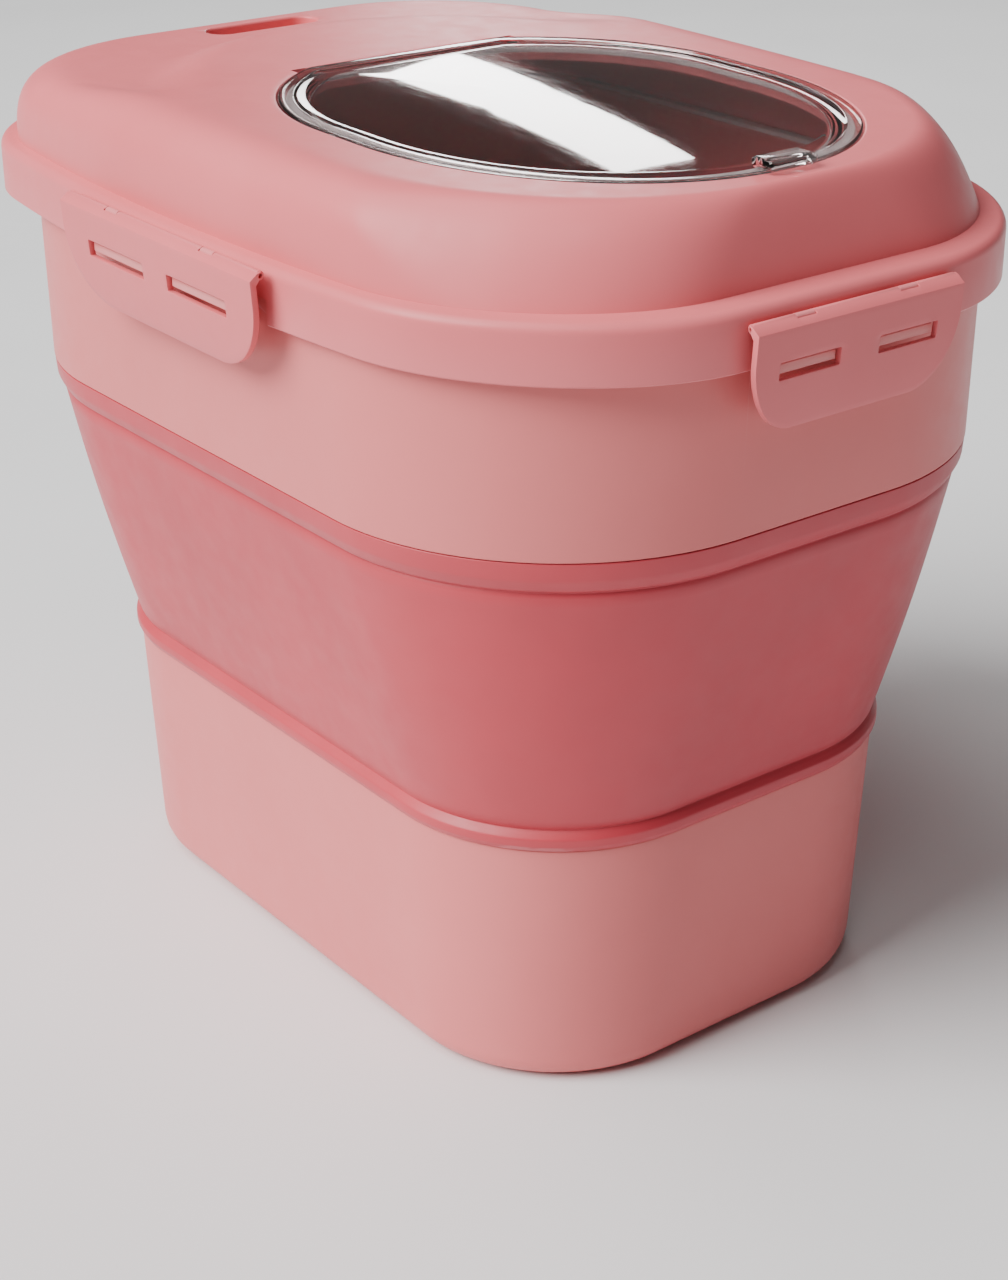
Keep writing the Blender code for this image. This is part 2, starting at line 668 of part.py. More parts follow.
def window_door(finish):
    """A clear crowned pane in a thicker rim, with a grip in front. Its origin is on the hinge line."""
    axis_y, axis_z = window_axis()
    top = lambda x, y: window_plane(x, y) + DOOR_ABOVE_DECK
    bottom = lambda x, y: top(x, y) - DOOR_RIM_HEIGHT
    pane_top = lambda x, y: top(x, y) - DOOR_PANE_DROP
    pane_bottom = lambda x, y: pane_top(x, y) - DOOR_PANE_THICKNESS
    pane_edge = window_outline(-DOOR_PANE_MARGIN)
    middle_y = (WINDOW_FRONT + WINDOW_REAR) / 2

    def pane_loops(surface):
        loops = []
        for step in range(1, DOOR_PANE_STEPS + 1):
            scale = 1 - step / (DOOR_PANE_STEPS + 1)
            shrunk = [(x * scale, middle_y + (y - middle_y) * scale) for x, y in pane_edge]
            rise = DOOR_PANE_CROWN * (1 - scale**2)
            loops.append([(x, y, surface(x, y) + rise) for x, y in shrunk])
        return loops

    loops = list(reversed(pane_loops(pane_bottom)))
    loops.append(at_height(pane_edge, pane_bottom))
    loops.append(at_height(window_outline(-DOOR_RIM_WIDTH), bottom))
    loops.append(at_height(window_outline(0.0), bottom))
    loops.append(at_height(window_outline(0.0), lambda x, y: top(x, y) - DOOR_RIM_EDGE))
    loops.append(at_height(window_outline(-DOOR_RIM_EDGE), top))
    loops.append(at_height(window_outline(-DOOR_RIM_WIDTH), top))
    loops.append(at_height(pane_edge, pane_top))
    loops += pane_loops(pane_top)
    door = skin("window_door", loops, finish)
    door.data.transform(Matrix.Translation((0, -axis_y, -axis_z)))
    door.location = (0, axis_y, axis_z)
    boolean(door, door_grip(), "UNION")
    hole = bmesh.new()
    reach = WINDOW_PIN_HALF_LENGTH + CUT_REACH
    add_rod(hole, WINDOW_PIN_RADIUS + HOLE_CLEARANCE, -reach, reach, axis_z, axis_y)
    boolean(door, helper("door_pin_hole", hole), "DIFFERENCE")
    return door


def door_grip():
    """A block on the rim whose front half reaches out over the lid."""
    bm = bmesh.new()
    front, rear = GRIP_SPAN
    level = window_plane(0.0, WINDOW_FRONT) + DOOR_ABOVE_DECK
    half = GRIP_HALF_WIDTH
    add_box(bm, (-half, front, level + GAP), (half, rear, level + GRIP_HEIGHT))
    grip = helper("door_grip", bm)
    rounding = grip.modifiers.new("rounding", "BEVEL")
    rounding.width = GRIP_ROUNDING
    rounding.segments = 2
    foot = bmesh.new()
    half -= GRIP_FOOT_INSET
    low = (-half, WINDOW_FRONT + DOOR_RIM_EDGE, level - GRIP_FOOT_DEPTH)
    add_box(foot, low, (half, rear - GRIP_FOOT_INSET, level + GRIP_FOOT_TOP))
    boolean(grip, helper("door_grip_foot", foot), "UNION")
    return grip


def window_pin(finish):
    axis_y, axis_z = window_axis()
    bm = bmesh.new()
    reach = WINDOW_PIN_HALF_LENGTH
    add_rod(bm, WINDOW_PIN_RADIUS, -reach, reach, 0.0, 0.0)
    pin = new_object("window_hinge_pin", mesh_from("window_hinge_pin", bm), finish)
    pin.location = (0, axis_y, axis_z)
    return pin


# ---------------------------------------------------------------- latches


def latch_reach(latch):
    return LID_HALF_LENGTH if latch["turn"] in (0, 180) else LID_HALF_WIDTH


def latch_place(latch):
    """From a latch's own frame (width along X, outwards -Y) to its side of the lid."""
    turn = Matrix.Rotation(math.radians(latch["turn"]), 4, "Z")
    return turn @ Matrix.Translation((0, -latch_reach(latch), 0))


def latch_axis_height(latch):
    return latch["top"] + LATCH_AXIS_RISE


def lug_centres(latch):
    offset = latch["half_width"] * 0.5
    return (-offset, offset)


def latch_drop(latch, along):
    """How far the flap hangs down at a distance along it: flat in the middle, swept up at its ends."""
    corner = latch["half_width"] - latch["flat"]
    share = max(0.0, abs(along) - latch["flat"]) / corner
    curve = (1 - min(1.0, share) ** LATCH_CORNER_POWER) ** (1 / LATCH_CORNER_POWER)
    return LATCH_END_HEIGHT + (LATCH_HEIGHT - LATCH_END_HEIGHT) * curve


def latch_face(drop):
    """How far out the flap's face stands at a depth below its top edge."""
    share = drop / LATCH_HEIGHT
    dish = LATCH_DISH * math.sin(math.pi * share)
    return LATCH_PROUD - LATCH_LEAN * share - LATCH_CURL * share**3 - dish


def latch_columns(latch):
    """Distances along the latch: close together where its lower corners sweep up."""
    half, flat = latch["half_width"], latch["flat"]
    sweep = [mix(flat, half, sine) for sine, _ in quarter(LATCH_SWEEP_STEPS)]
    return [-x for x in reversed(sweep)] + [0.0] + sweep


def latch_mesh(name, latch, finish):
    """The flap: a curved plate under a sloping ledge, knuckles on the hinge line, and two slots."""
    top, axis_height = latch["top"], latch_axis_height(latch)
    loops = []
    for along in latch_columns(latch):
        drop = latch_drop(latch, along)
        outer, inner = [], []
        for row in range(LATCH_ROWS + 1):
            depth = drop * row / LATCH_ROWS
            outer.append((along, -latch_face(depth), top - depth))
            lowered = max(depth, LATCH_LEDGE)
            inner.append((along, -latch_face(lowered) + LATCH_WALL, top - lowered))
        ledge = [
            (along, -LATCH_AXIS_OUT - LATCH_BARREL / 8, axis_height - LATCH_BARREL / 4),
            (along, -LATCH_AXIS_OUT, axis_height + LATCH_BARREL * 0.95),
            (along, -LATCH_AXIS_OUT - LATCH_BARREL * 0.95, axis_height + LATCH_BARREL * 0.65),
        ]
        loops.append(outer + list(reversed(inner)) + ledge)
    flap = skin(name, loops, finish)
    half = latch["half_width"]
    barrel = bmesh.new()
    reach = half - LATCH_BARREL_MARGIN
    add_rod(barrel, LATCH_BARREL, -reach, reach, axis_height, -LATCH_AXIS_OUT)
    boolean(flap, helper(f"{name}_barrel", barrel), "UNION")
    cuts = bmesh.new()
    middle = top - LATCH_SLOT_DROP
    for side in (-1, 1):
        centre = side * latch["slots_apart"] / 2
        low = (centre - latch["slot"] / 2, -2 * CUT_REACH, middle - LATCH_SLOT_HEIGHT / 2)
        high = (centre + latch["slot"] / 2, CUT_REACH, middle + LATCH_SLOT_HEIGHT / 2)
        add_box(cuts, low, high)
    relief = LATCH_BARREL + LUG_CLEARANCE
    for centre in lug_centres(latch):
        start = centre - LUG_WIDTH / 2 - LUG_CLEARANCE
        end = centre + LUG_WIDTH / 2 + LUG_CLEARANCE
        low = (start, -LATCH_AXIS_OUT - relief, axis_height - relief)
        add_box(cuts, low, (end, CUT_REACH, axis_height + CUT_REACH))
    boolean(flap, helper(f"{name}_cuts", cuts), "DIFFERENCE")
    bore = bmesh.new()
    hole = LATCH_PIN_RADIUS + HOLE_CLEARANCE
    reach = half + CUT_REACH
    add_rod(bore, hole, -reach, reach, axis_height, -LATCH_AXIS_OUT)
    boolean(flap, helper(f"{name}_bore", bore), "DIFFERENCE")
    return flap


def seat_on_axis(obj, latch):
    """Moves an object's origin to the latch's hinge line and turns it to its side of the lid."""
    axis = Vector((0, -LATCH_AXIS_OUT, latch_axis_height(latch)))
    for part in [obj] + [modifier.object for modifier in obj.modifiers]:
        part.data.transform(Matrix.Translation(-axis))
        part.matrix_world = latch_place(latch) @ Matrix.Translation(axis)


def latch_and_pin(side, latch, finish, pin_finish):
    flap = latch_mesh(f"latch_{side}", latch, finish)
    seat_on_axis(flap, latch)
    bm = bmesh.new()
    reach = latch["half_width"] - LATCH_PIN_MARGIN
    add_rod(bm, LATCH_PIN_RADIUS, -reach, reach, latch_axis_height(latch), -LATCH_AXIS_OUT)
    pin = new_object(f"latch_pin_{side}", mesh_from(f"latch_pin_{side}", bm), pin_finish)
    seat_on_axis(pin, latch)


def main():
    clear_scene()
    body_plastic = material("body_plastic", PINK, 0.42)
    lid_plastic = material("lid_plastic", LID_PINK, 0.40)
    soft_rubber = material("soft_rubber", ROSE, 0.50)
    seal_silicone = material("seal_silicone", WHITE, 0.55)
    clear_plastic = material("clear_plastic", CLEAR, 0.06, transmission=0.9)
    pin_steel = material("pin_steel", STEEL, 0.30, metallic=1.0)
    lower_tub(body_plastic)
    fold_band(soft_rubber)
    upper_ring(body_plastic)
    lid_shell(lid_plastic)
    lid_gasket(seal_silicone)
    window_seal(seal_silicone)
    window_door(clear_plastic)
    window_pin(pin_steel)
    for side, latch in LATCHES.items():
        latch_and_pin(side, latch, lid_plastic, pin_steel)


main()
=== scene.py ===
"""Collapsible pet food bin: fine surfaces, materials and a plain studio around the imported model.

Metres, +Z up. The bin's length runs along Y with the window's grip at -Y. Outlines are given by
their inset from the lid's edge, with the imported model's own sizes.
"""

import math

import bmesh
import bpy
from mathutils import Matrix, Vector


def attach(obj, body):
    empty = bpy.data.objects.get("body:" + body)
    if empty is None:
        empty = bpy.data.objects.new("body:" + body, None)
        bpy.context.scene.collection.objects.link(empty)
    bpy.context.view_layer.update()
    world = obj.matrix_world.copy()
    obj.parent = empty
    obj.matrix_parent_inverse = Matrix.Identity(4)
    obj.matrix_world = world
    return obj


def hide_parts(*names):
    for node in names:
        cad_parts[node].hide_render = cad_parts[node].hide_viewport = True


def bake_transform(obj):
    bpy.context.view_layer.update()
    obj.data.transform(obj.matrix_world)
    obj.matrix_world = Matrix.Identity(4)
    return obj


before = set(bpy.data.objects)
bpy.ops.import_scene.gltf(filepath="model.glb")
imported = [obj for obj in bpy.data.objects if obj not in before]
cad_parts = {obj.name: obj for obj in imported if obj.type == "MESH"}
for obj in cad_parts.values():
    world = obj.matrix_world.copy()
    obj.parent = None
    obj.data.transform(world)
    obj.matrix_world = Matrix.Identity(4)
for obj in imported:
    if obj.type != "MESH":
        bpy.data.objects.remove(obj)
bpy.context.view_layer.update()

# Camera and studio.
CAMERA_AZIMUTH = -37.60
CAMERA_ELEVATION = 25.46
CAMERA_ROLL = -0.14
CAMERA_TARGET_RIGHT = 0.0073
CAMERA_TARGET_HEIGHT = 0.114
CAMERA_DISTANCE = 1.0354
CAMERA_LENS = 67.93
CAMERA_SHIFT_X = -0.0032
SENSOR_WIDTH = 36.0
LAMP_AIM_HEIGHT = 0.25
SUN_DISTANCE = 2.0
WORLD_STRENGTH = 0.09
FLOOR_HALF_SIZE = 40.0
FLOOR_DROP = 0.0002

# Lid and body outlines.
LID_HALF_WIDTH = 0.1455
LID_HALF_LENGTH = 0.200
LID_FRONT_CORNER = 0.092
LID_REAR_CORNER = 0.060
LID_SIDE_BOW = 0.020
BODY_HALF_WIDTH = 0.1468
BODY_CORNER = 0.110
WALL = 0.0026
GAP = 0.0003
EDGE = 0.0007
RING_TOP_EDGE = 0.0008
RIM_EDGE = 0.0006
FINE_EDGE = 0.0005
CREASE_EDGE = 0.0004
CUT_REACH = 0.01

# Heights of the walls, creases and rims.
TUB_TOP = 0.1066
TUB_RIM_TOP = 0.1138
LOWER_CREASE = 0.1152
UPPER_CREASE = 0.2215
RING_TONGUE_BOTTOM = 0.2262
RING_BOTTOM = 0.2342
SKIRT_BOTTOM = 0.2993
RING_RIM_TOP = 0.3150
FLANGE_TOP = 0.3205

TUB_FOOT_INSET = 0.0425
TUB_TOP_INSET = 0.0376
TUB_TOP_RELIEF = 0.0004
TUB_FOOT_FILLET = 0.011
TUB_FLOOR_MARGIN = 2.5
TUB_RIM_STEP = 0.0030
BAND_THICKNESS = 0.0018
BAND_BULGE = 0.0016
BAND_BULGE_SPAN = (0.0026, 0.0056)
BAND_BULGE_EDGE = 0.0016
LOWER_CREASE_DEPTH = 0.0012
LOWER_CREASE_RISE = 0.0011
UPPER_CREASE_DEPTH = 0.0010
SHOULDER_PROUD = 0.0008
SHOULDER_FOOT = 0.0014
SHOULDER_INSET = 0.0007
SHOULDER_HEIGHT = 0.0055
SHOULDER_EDGE = 0.0040
STRIP_INSET = 0.0002
STRIP_RISE = 0.0016
GRIP_LIP = 0.0028
PANEL_TOP_INSET = 0.0136
PANEL_CROWN = 0.0012
PANEL_MARGIN = 0.0018
PANEL_STEPS = 24
RING_BOTTOM_INSET = 0.0100
RING_TOP_INSET = 0.0093
RING_TONGUE_STEP = 0.0028
RING_RIM_WIDTH = 0.0040
RING_RIM_HEIGHT = 0.0030
RING_RIM_SLOPE = 0.0055
RING_FOOT_SLOPE = (0.0010, 0.0060)

# Lid dome, its window deck and the lower platform behind it.
DOME_SIDE_INSET = 0.0065
DOME_FRONT_INSET = 0.0130
DOME_REAR_INSET = 0.0110
DOME_FULLNESS = 0.72
DOME_STEPS = 18
DOME_FRONT_FADE = (-0.09, -0.15)
DOME_FOOT_RISE = 0.0004
DOME_FOOT_ROOM = 0.0012
FLANGE_EDGE_RADIUS = 0.0040
FLANGE_EDGE_STEPS = 6
DECK_HALF_WIDTH = 0.113
DECK_FRONT = -0.1750
DECK_REAR = 0.1730
DECK_FRONT_CORNER = 0.100
DECK_REAR_CORNER = 0.075
DECK_STEPS = 34
DECK_HEIGHT = 0.3543
DECK_SLOPE = 0.012
STEP_DROP = 0.0062
STEP_CENTRE_Y = 0.030
STEP_INNER_RADIUS = 0.090
STEP_OUTER_RADIUS = 0.119
STEP_FADE = (0.040, 0.105)
SLOT_Y = 0.162
SLOT_HALF_LENGTH = 0.027
SLOT_HALF_WIDTH = 0.0075
SLOT_DEPTH = 0.008
SLOT_LIP = 0.0012
SLOT_LIP_STEPS = 5
SLOT_FLOOR_STEPS = 4
SLOT_OVERRUN = 0.00002
NOTCH_END_MARGIN = 0.0040
NOTCH_TOP_RISE = 0.0058
NOTCH_OVERRUN = 0.0020

# Flip-up window.
WINDOW_HALF_WIDTH = 0.097
WINDOW_FRONT = -0.166
WINDOW_FRONT_REACH = 0.112
WINDOW_REAR = 0.0545
WINDOW_RADIUS = 0.0938
WINDOW_REAR_SWEEP = 62.6
WINDOW_LEDGE_DEPTH = 0.0060
WINDOW_LEDGE_WIDTH = 0.0085
WINDOW_REAR_GAP = 0.0015
WINDOW_CLEARANCE = 0.0004
OPENING_LIP = 0.0007
OPENING_LIP_STEPS = 3
DOOR_ABOVE_DECK = 0.0006
DOOR_RIM_HEIGHT = 0.0042
DOOR_RIM_WIDTH = 0.0060
DOOR_PANE_THICKNESS = 0.0020
DOOR_PANE_CROWN = 0.0030
DOOR_OUTER_EDGE = 0.0010
DOOR_INNER_EDGE = 0.0008
DOOR_PANE_DROP = 0.0010
DOOR_PANE_SLOPE = 0.0012
DOOR_PANE_STEPS = 15
DOOR_SHARP_ANGLE = 50
DOOR_AXIS_INSET = 0.0015
GRIP_HALF_WIDTH = 0.0110
GRIP_SPAN = (-0.1710, -0.1595)
GRIP_HEIGHT = 0.0044
GRIP_LIFT = 0.0003
GRIP_ROUNDING = 0.0018
GRIP_FOOT_INSET = 0.002
GRIP_FOOT_FRONT = 0.0012
GRIP_FOOT_DEPTH = 0.0020
GRIP_FOOT_TOP = 0.0015
SEAL_INSET = 0.0030
SEAL_INNER_MARGIN = 0.0005
SEAL_THICKNESS = 0.0018
SEAL_BEAD_STEPS = 4
WINDOW_PIN_RADIUS = 0.0006
HINGE_POCKET_HALF_LENGTH = 0.0541
HINGE_POCKET_DEPTH = 0.0030
HINGE_POCKET_FRONT = 0.0036
HINGE_POCKET_FOOT = 0.0016
HINGE_BLOCK_FRONT = 0.0010
HINGE_BLOCK_SINK = 0.0008
HINGE_BLOCK_WALL = 0.7
PIN_HOLE_HALF_LENGTH = 0.06

# Latches, in their own frame: width along X, outwards -Y from the lid's edge.
LATCH_HEIGHT = 0.0366
LATCH_PROUD = 0.0068
LATCH_WALL = 0.0024
LATCH_END_HEIGHT = 0.0100
LATCH_AXIS_OUT = 0.0021
LATCH_AXIS_RISE = 0.0012
LATCH_BARREL = 0.0017
LATCH_BARREL_MARGIN = 0.001
LATCH_LEDGE = 0.0020
LATCH_LEAN = 0.0010
LATCH_CURL = 0.0034
LATCH_DISH = 0.0005
LATCH_CORNER_POWER = 1.9
LATCH_EDGE = 0.00045
LATCH_ROWS = 16
LATCH_ROW_STAGGER = 0.00001
LATCH_SWEEP_STEPS = 22
LATCH_MIDDLE_STEPS = 6
LATCH_PIN_RADIUS = 0.0009
LATCH_SLOT_DROP = 0.0145
LATCH_SLOT_HEIGHT = 0.0064
TONGUE_HEIGHT = 0.0036
TONGUE_REACH = 0.0042
TONGUE_RISE = 0.0004
TONGUE_SIDE_GAP = 0.0010
LUG_WIDTH = 0.008
LUG_CLEARANCE = 0.0004
LUG_ROOT_WALL = 0.6
HOLE_CLEARANCE = 0.00015
LATCHES = {
    "left": dict(half_width=0.067, flat=0.038, slot=0.040, slots_apart=0.057, top=0.3176, turn=-90),
    "right": dict(half_width=0.067, flat=0.038, slot=0.040, slots_apart=0.057, top=0.3176, turn=90),
    "front": dict(half_width=0.048, flat=0.028, slot=0.028, slots_apart=0.046, top=0.3133, turn=0),
    "rear": dict(half_width=0.048, flat=0.028, slot=0.028, slots_apart=0.046, top=0.3133, turn=180),
}

# How finely round shapes are cut.
CORNER_STEPS = 28
LONG_SIDE_STEPS = 16
SHORT_SIDE_STEPS = 10
ROUND_SIDES = 32
FILLET_STEP = math.radians(15)

# Colours, linear.
PINK = (0.75, 0.190, 0.190)
LID_PINK = (0.74, 0.165, 0.180)
ROSE = (0.54, 0.046, 0.066)
SILICONE = (0.86, 0.85, 0.86)
CLEAR = (0.96, 0.87, 0.86)
STEEL = (0.62, 0.62, 0.64)
FLOOR = (0.81, 0.81, 0.81)
STUDIO_WHITE = (1.0, 0.99, 0.985)


def mix(a, b, share):
    return a + (b - a) * share


def smoothstep(low, high, value):
    share = min(1.0, max(0.0, (value - low) / (high - low)))
    return share * share * (3.0 - 2.0 * share)


# ---------------------------------------------------------------- materials


def shader_of(name):
    """A new material, its node tree and its Principled shader."""
    made = bpy.data.materials.new(name)
    made.use_nodes = True
    tree = made.node_tree
    return made, tree, tree.nodes["Principled BSDF"]


def noise(tree, scale, detail=2.0, stretch=(1, 1, 1)):
    """A noise texture in the piece's own coordinates, its scale in cycles per metre."""
    place = tree.nodes.new("ShaderNodeTexCoord")
    sized = tree.nodes.new("ShaderNodeMapping")
    sized.inputs["Scale"].default_value = stretch
    texture = tree.nodes.new("ShaderNodeTexNoise")
    texture.inputs["Scale"].default_value = scale
    texture.inputs["Detail"].default_value = detail
    tree.links.new(place.outputs["Object"], sized.inputs["Vector"])
    tree.links.new(sized.outputs["Vector"], texture.inputs["Vector"])
    return texture.outputs["Fac"]


def remap(tree, source, low, high, from_low=0.3, from_high=0.7):
    node = tree.nodes.new("ShaderNodeMapRange")
    node.inputs["From Min"].default_value = from_low
    node.inputs["From Max"].default_value = from_high
    node.inputs["To Min"].default_value = low
    node.inputs["To Max"].default_value = high
    tree.links.new(source, node.inputs["Value"])
    return node.outputs["Result"]


def blend_colours(tree, factor, first, second):
    """Between two colours, each given as numbers or as a socket."""
    node = tree.nodes.new("ShaderNodeMix")
    node.data_type = "RGBA"
    tree.links.new(factor, node.inputs["Factor"])
    for name, value in (("A", first), ("B", second)):
        socket = [item for item in node.inputs if item.name == name and item.type == "RGBA"][0]
        if isinstance(value, tuple):
            socket.default_value = (*value, 1.0)
        else:
            tree.links.new(value, socket)
    return [item for item in node.outputs if item.type == "RGBA"][0]


def bumps(tree, shader, layers):
    """Stacks bump layers of (height socket, distance in metres)."""
    normal = None
    for height, distance in layers:
        bump = tree.nodes.new("ShaderNodeBump")
        bump.inputs["Strength"].default_value = 0.6
        bump.inputs["Distance"].default_value = distance
        tree.links.new(height, bump.inputs["Height"])
        if normal is not None:
            tree.links.new(normal, bump.inputs["Normal"])
        normal = bump.outputs["Normal"]
    tree.links.new(normal, shader.inputs["Normal"])


def painted_edge_highlight(tree, colour, edge_highlight_colour):
    """Paints a colour lighter along a piece's convex edges: a painted highlight where the edges catch the
    light.
    """
    geometry = tree.nodes.new("ShaderNodeNewGeometry")
    edge = remap(tree, geometry.outputs["Pointiness"], 0.0, 0.55, 0.53, 0.62)
    return blend_colours(tree, edge, colour, edge_highlight_colour)


def moulded_plastic(name, colour, roughness, grain):
    """Satin moulded plastic: cloudy colour, a fine grain, faint flow waves and a painted highlight along its
    convex edges.
    """
    made, tree, shader = shader_of(name)
    cloud = remap(tree, noise(tree, 14.0, 4.0), 0.0, 1.0)
    darker = tuple(channel * share for channel, share in zip(colour, (0.955, 0.925, 0.925)))
    # A lighter colour painted along the convex edges: a painted edge highlight.
    edge_highlight_colour = tuple(mix(channel, 1.0, 0.16) for channel in colour)
    tint = blend_colours(tree, cloud, darker, colour)
    tree.links.new(painted_edge_highlight(tree, tint, edge_highlight_colour), shader.inputs["Base Color"])
    gloss = remap(tree, noise(tree, 120.0, 3.0), roughness - 0.04, roughness + 0.04)
    tree.links.new(gloss, shader.inputs["Roughness"])
    bumps(tree, shader, [(noise(tree, 45.0), 0.00004), (noise(tree, 2600.0, 1.0), grain)])
    shader.inputs["Specular IOR Level"].default_value = 0.25
    return made


def soft_rubber(name, colour):
    """Thermoplastic rubber: deeper colour, soft sheen and a faint drawn texture."""
    made, tree, shader = shader_of(name)
    cloud = remap(tree, noise(tree, 18.0, 4.0), 0.0, 1.0)
    darker = tuple(channel * 0.90 for channel in colour)
    # A lighter colour painted along the convex edges: a painted edge highlight.
    edge_highlight_colour = tuple(mix(channel, 1.0, 0.12) for channel in colour)
    tint = blend_colours(tree, cloud, darker, colour)
    tree.links.new(painted_edge_highlight(tree, tint, edge_highlight_colour), shader.inputs["Base Color"])
    gloss = remap(tree, noise(tree, 90.0, 3.0), 0.40, 0.50)
    tree.links.new(gloss, shader.inputs["Roughness"])
    bumps(tree, shader, [(noise(tree, 30.0), 0.00008), (noise(tree, 1800.0, 2.0), 0.00001)])
    shader.inputs["Sheen Weight"].default_value = 0.06
    shader.inputs["Sheen Roughness"].default_value = 0.4
    return made


def silicone(name, colour):
    made, tree, shader = shader_of(name)
    cloud = remap(tree, noise(tree, 60.0, 3.0), 0.0, 1.0)
    darker = tuple(channel * 0.94 for channel in colour)
    tree.links.new(blend_colours(tree, cloud, darker, colour), shader.inputs["Base Color"])
    tree.links.new(remap(tree, noise(tree, 200.0), 0.34, 0.44), shader.inputs["Roughness"])
    bumps(tree, shader, [(noise(tree, 2200.0), 0.00001)])
    return made


def clear_plastic(name, colour):
    """Glossy clear polycarbonate with a faint moulding ripple and hairline scuffs."""
    made, tree, shader = shader_of(name)
    scuffs = remap(tree, noise(tree, 700.0, 3.0, (1, 0.08, 1)), 0.012, 0.045, 0.45, 0.75)
    tree.links.new(scuffs, shader.inputs["Roughness"])
    ripple = remap(tree, noise(tree, 25.0), 0.0, 1.0)
    shade = tuple(channel * 0.985 for channel in colour)
    tree.links.new(blend_colours(tree, ripple, shade, colour), shader.inputs["Base Color"])
    shader.inputs["Transmission Weight"].default_value = 1.0
    shader.inputs["IOR"].default_value = 1.49
    bumps(tree, shader, [(noise(tree, 22.0, 1.0), 0.000008)])
    return made


def steel(name, colour):
    made, tree, shader = shader_of(name)
    drawn = noise(tree, 500.0, 2.0, (0.05, 1, 1))
    darker = tuple(channel * 0.8 for channel in colour)
    tree.links.new(blend_colours(tree, drawn, darker, colour), shader.inputs["Base Color"])
    tree.links.new(remap(tree, drawn, 0.25, 0.4), shader.inputs["Roughness"])
    shader.inputs["Metallic"].default_value = 1.0
    return made


def floor_paint(name, colour):
    made, tree, shader = shader_of(name)
    cloud = remap(tree, noise(tree, 1.5, 3.0), 0.0, 1.0)
    darker = tuple(channel * 0.985 for channel in colour)
    tree.links.new(blend_colours(tree, cloud, darker, colour), shader.inputs["Base Color"])
    tree.links.new(remap(tree, noise(tree, 6.0), 0.55, 0.65), shader.inputs["Roughness"])
    return made


# ---------------------------------------------------------------- outlines


def arc_points(centre, radius, start, end, steps, reach=None):
    """Points on an arc, angles in degrees, both ends included. It may reach further along Y."""
    reach = radius if reach is None else reach
    points = []
    for step in range(steps + 1):
        angle = math.radians(mix(start, end, step / steps))
        points.append((centre[0] + radius * math.cos(angle), centre[1] + reach * math.sin(angle)))
    return points


def join_corners(corners):
    """One closed loop from four corner arcs, with points between them, starting right and rear."""
    between = (SHORT_SIDE_STEPS, LONG_SIDE_STEPS, SHORT_SIDE_STEPS, LONG_SIDE_STEPS)
    loop = []
    for index, corner in enumerate(corners):
        loop.extend(corner)
        start, end = corner[-1], corners[(index + 1) % 4][0]
        for step in range(1, between[index]):
            share = step / between[index]
            loop.append((mix(start[0], end[0], share), mix(start[1], end[1], share)))
    return loop


def box_outline(half_width, front, rear, front_corner, rear_corner, rear_sweep=90.0, reach=None):
    """A rounded rectangle. Its front corners may be stretched, its rear ones stop short."""
    reach = front_corner if reach is None else reach
    right_rear = (half_width - rear_corner, rear - rear_corner * math.sin(math.radians(rear_sweep)))
    right_front = (half_width - front_corner, front + reach)
    left_rear = (-right_rear[0], right_rear[1])
    left_front = (-right_front[0], right_front[1])
    return join_corners(
        [
            arc_points(right_rear, rear_corner, 0, rear_sweep, CORNER_STEPS),
            arc_points(left_rear, rear_corner, 180 - rear_sweep, 180, CORNER_STEPS),
            arc_points(left_front, front_corner, 180, 270, CORNER_STEPS, reach),
            arc_points(right_front, front_corner, 270, 360, CORNER_STEPS, reach),
        ]
    )


def lid_outline(inset, front_inset=None, rear_inset=None):
    """The lid's edge, whose long sides bow out. Its ends may be set in further."""
    front = -LID_HALF_LENGTH + (inset if front_inset is None else front_inset)
    rear = LID_HALF_LENGTH - (inset if rear_inset is None else rear_inset)
    half_width = LID_HALF_WIDTH - inset
    loop = box_outline(half_width, front, rear, LID_FRONT_CORNER - inset, LID_REAR_CORNER - inset)
    return [(x * (1 - LID_SIDE_BOW / LID_HALF_WIDTH * (y / LID_HALF_LENGTH) ** 2), y) for x, y in loop]


def dome_foot(inset):
    return lid_outline(DOME_SIDE_INSET + inset, DOME_FRONT_INSET + inset, DOME_REAR_INSET + inset)


def body_outline(inset):
    half_width, half_length = BODY_HALF_WIDTH - inset, LID_HALF_LENGTH - inset
    corner = BODY_CORNER - inset
    return box_outline(half_width, -half_length, half_length, corner, corner)


def deck_outline():
    return box_outline(DECK_HALF_WIDTH, DECK_FRONT, DECK_REAR, DECK_FRONT_CORNER, DECK_REAR_CORNER)


def window_outline(grow, rear_grow=None):
    """An oval cut straight across at its hinge. That straight edge can be moved on its own."""
    radius = WINDOW_RADIUS + grow
    sweep = WINDOW_REAR_SWEEP
    chord = WINDOW_REAR + grow * math.sin(math.radians(sweep))
    front, half_width = WINDOW_FRONT - grow, WINDOW_HALF_WIDTH + grow
    reach = WINDOW_FRONT_REACH + grow
    loop = box_outline(half_width, front, chord, radius, radius, sweep, reach)
    if rear_grow is None:
        return loop
    return [(x, WINDOW_REAR + rear_grow if y > chord - GAP else y) for x, y in loop]


def slot_outline(grow):
    """The round-ended slot, counter-clockwise."""
    straight = SLOT_HALF_LENGTH - SLOT_HALF_WIDTH
    radius = SLOT_HALF_WIDTH + grow
    right = arc_points((straight, SLOT_Y), radius, -90, 90, CORNER_STEPS)
    left = arc_points((-straight, SLOT_Y), radius, 90, 270, CORNER_STEPS)
    return right + left


def at_height(outline, height):
    """Lifts a flat outline, either to one height or to height(x, y)."""
    if callable(height):
        return [(x, y, height(x, y)) for x, y in outline]
    return [(x, y, height) for x, y in outline]


def window_plane(x, y):
    return DECK_HEIGHT + DECK_SLOPE * y


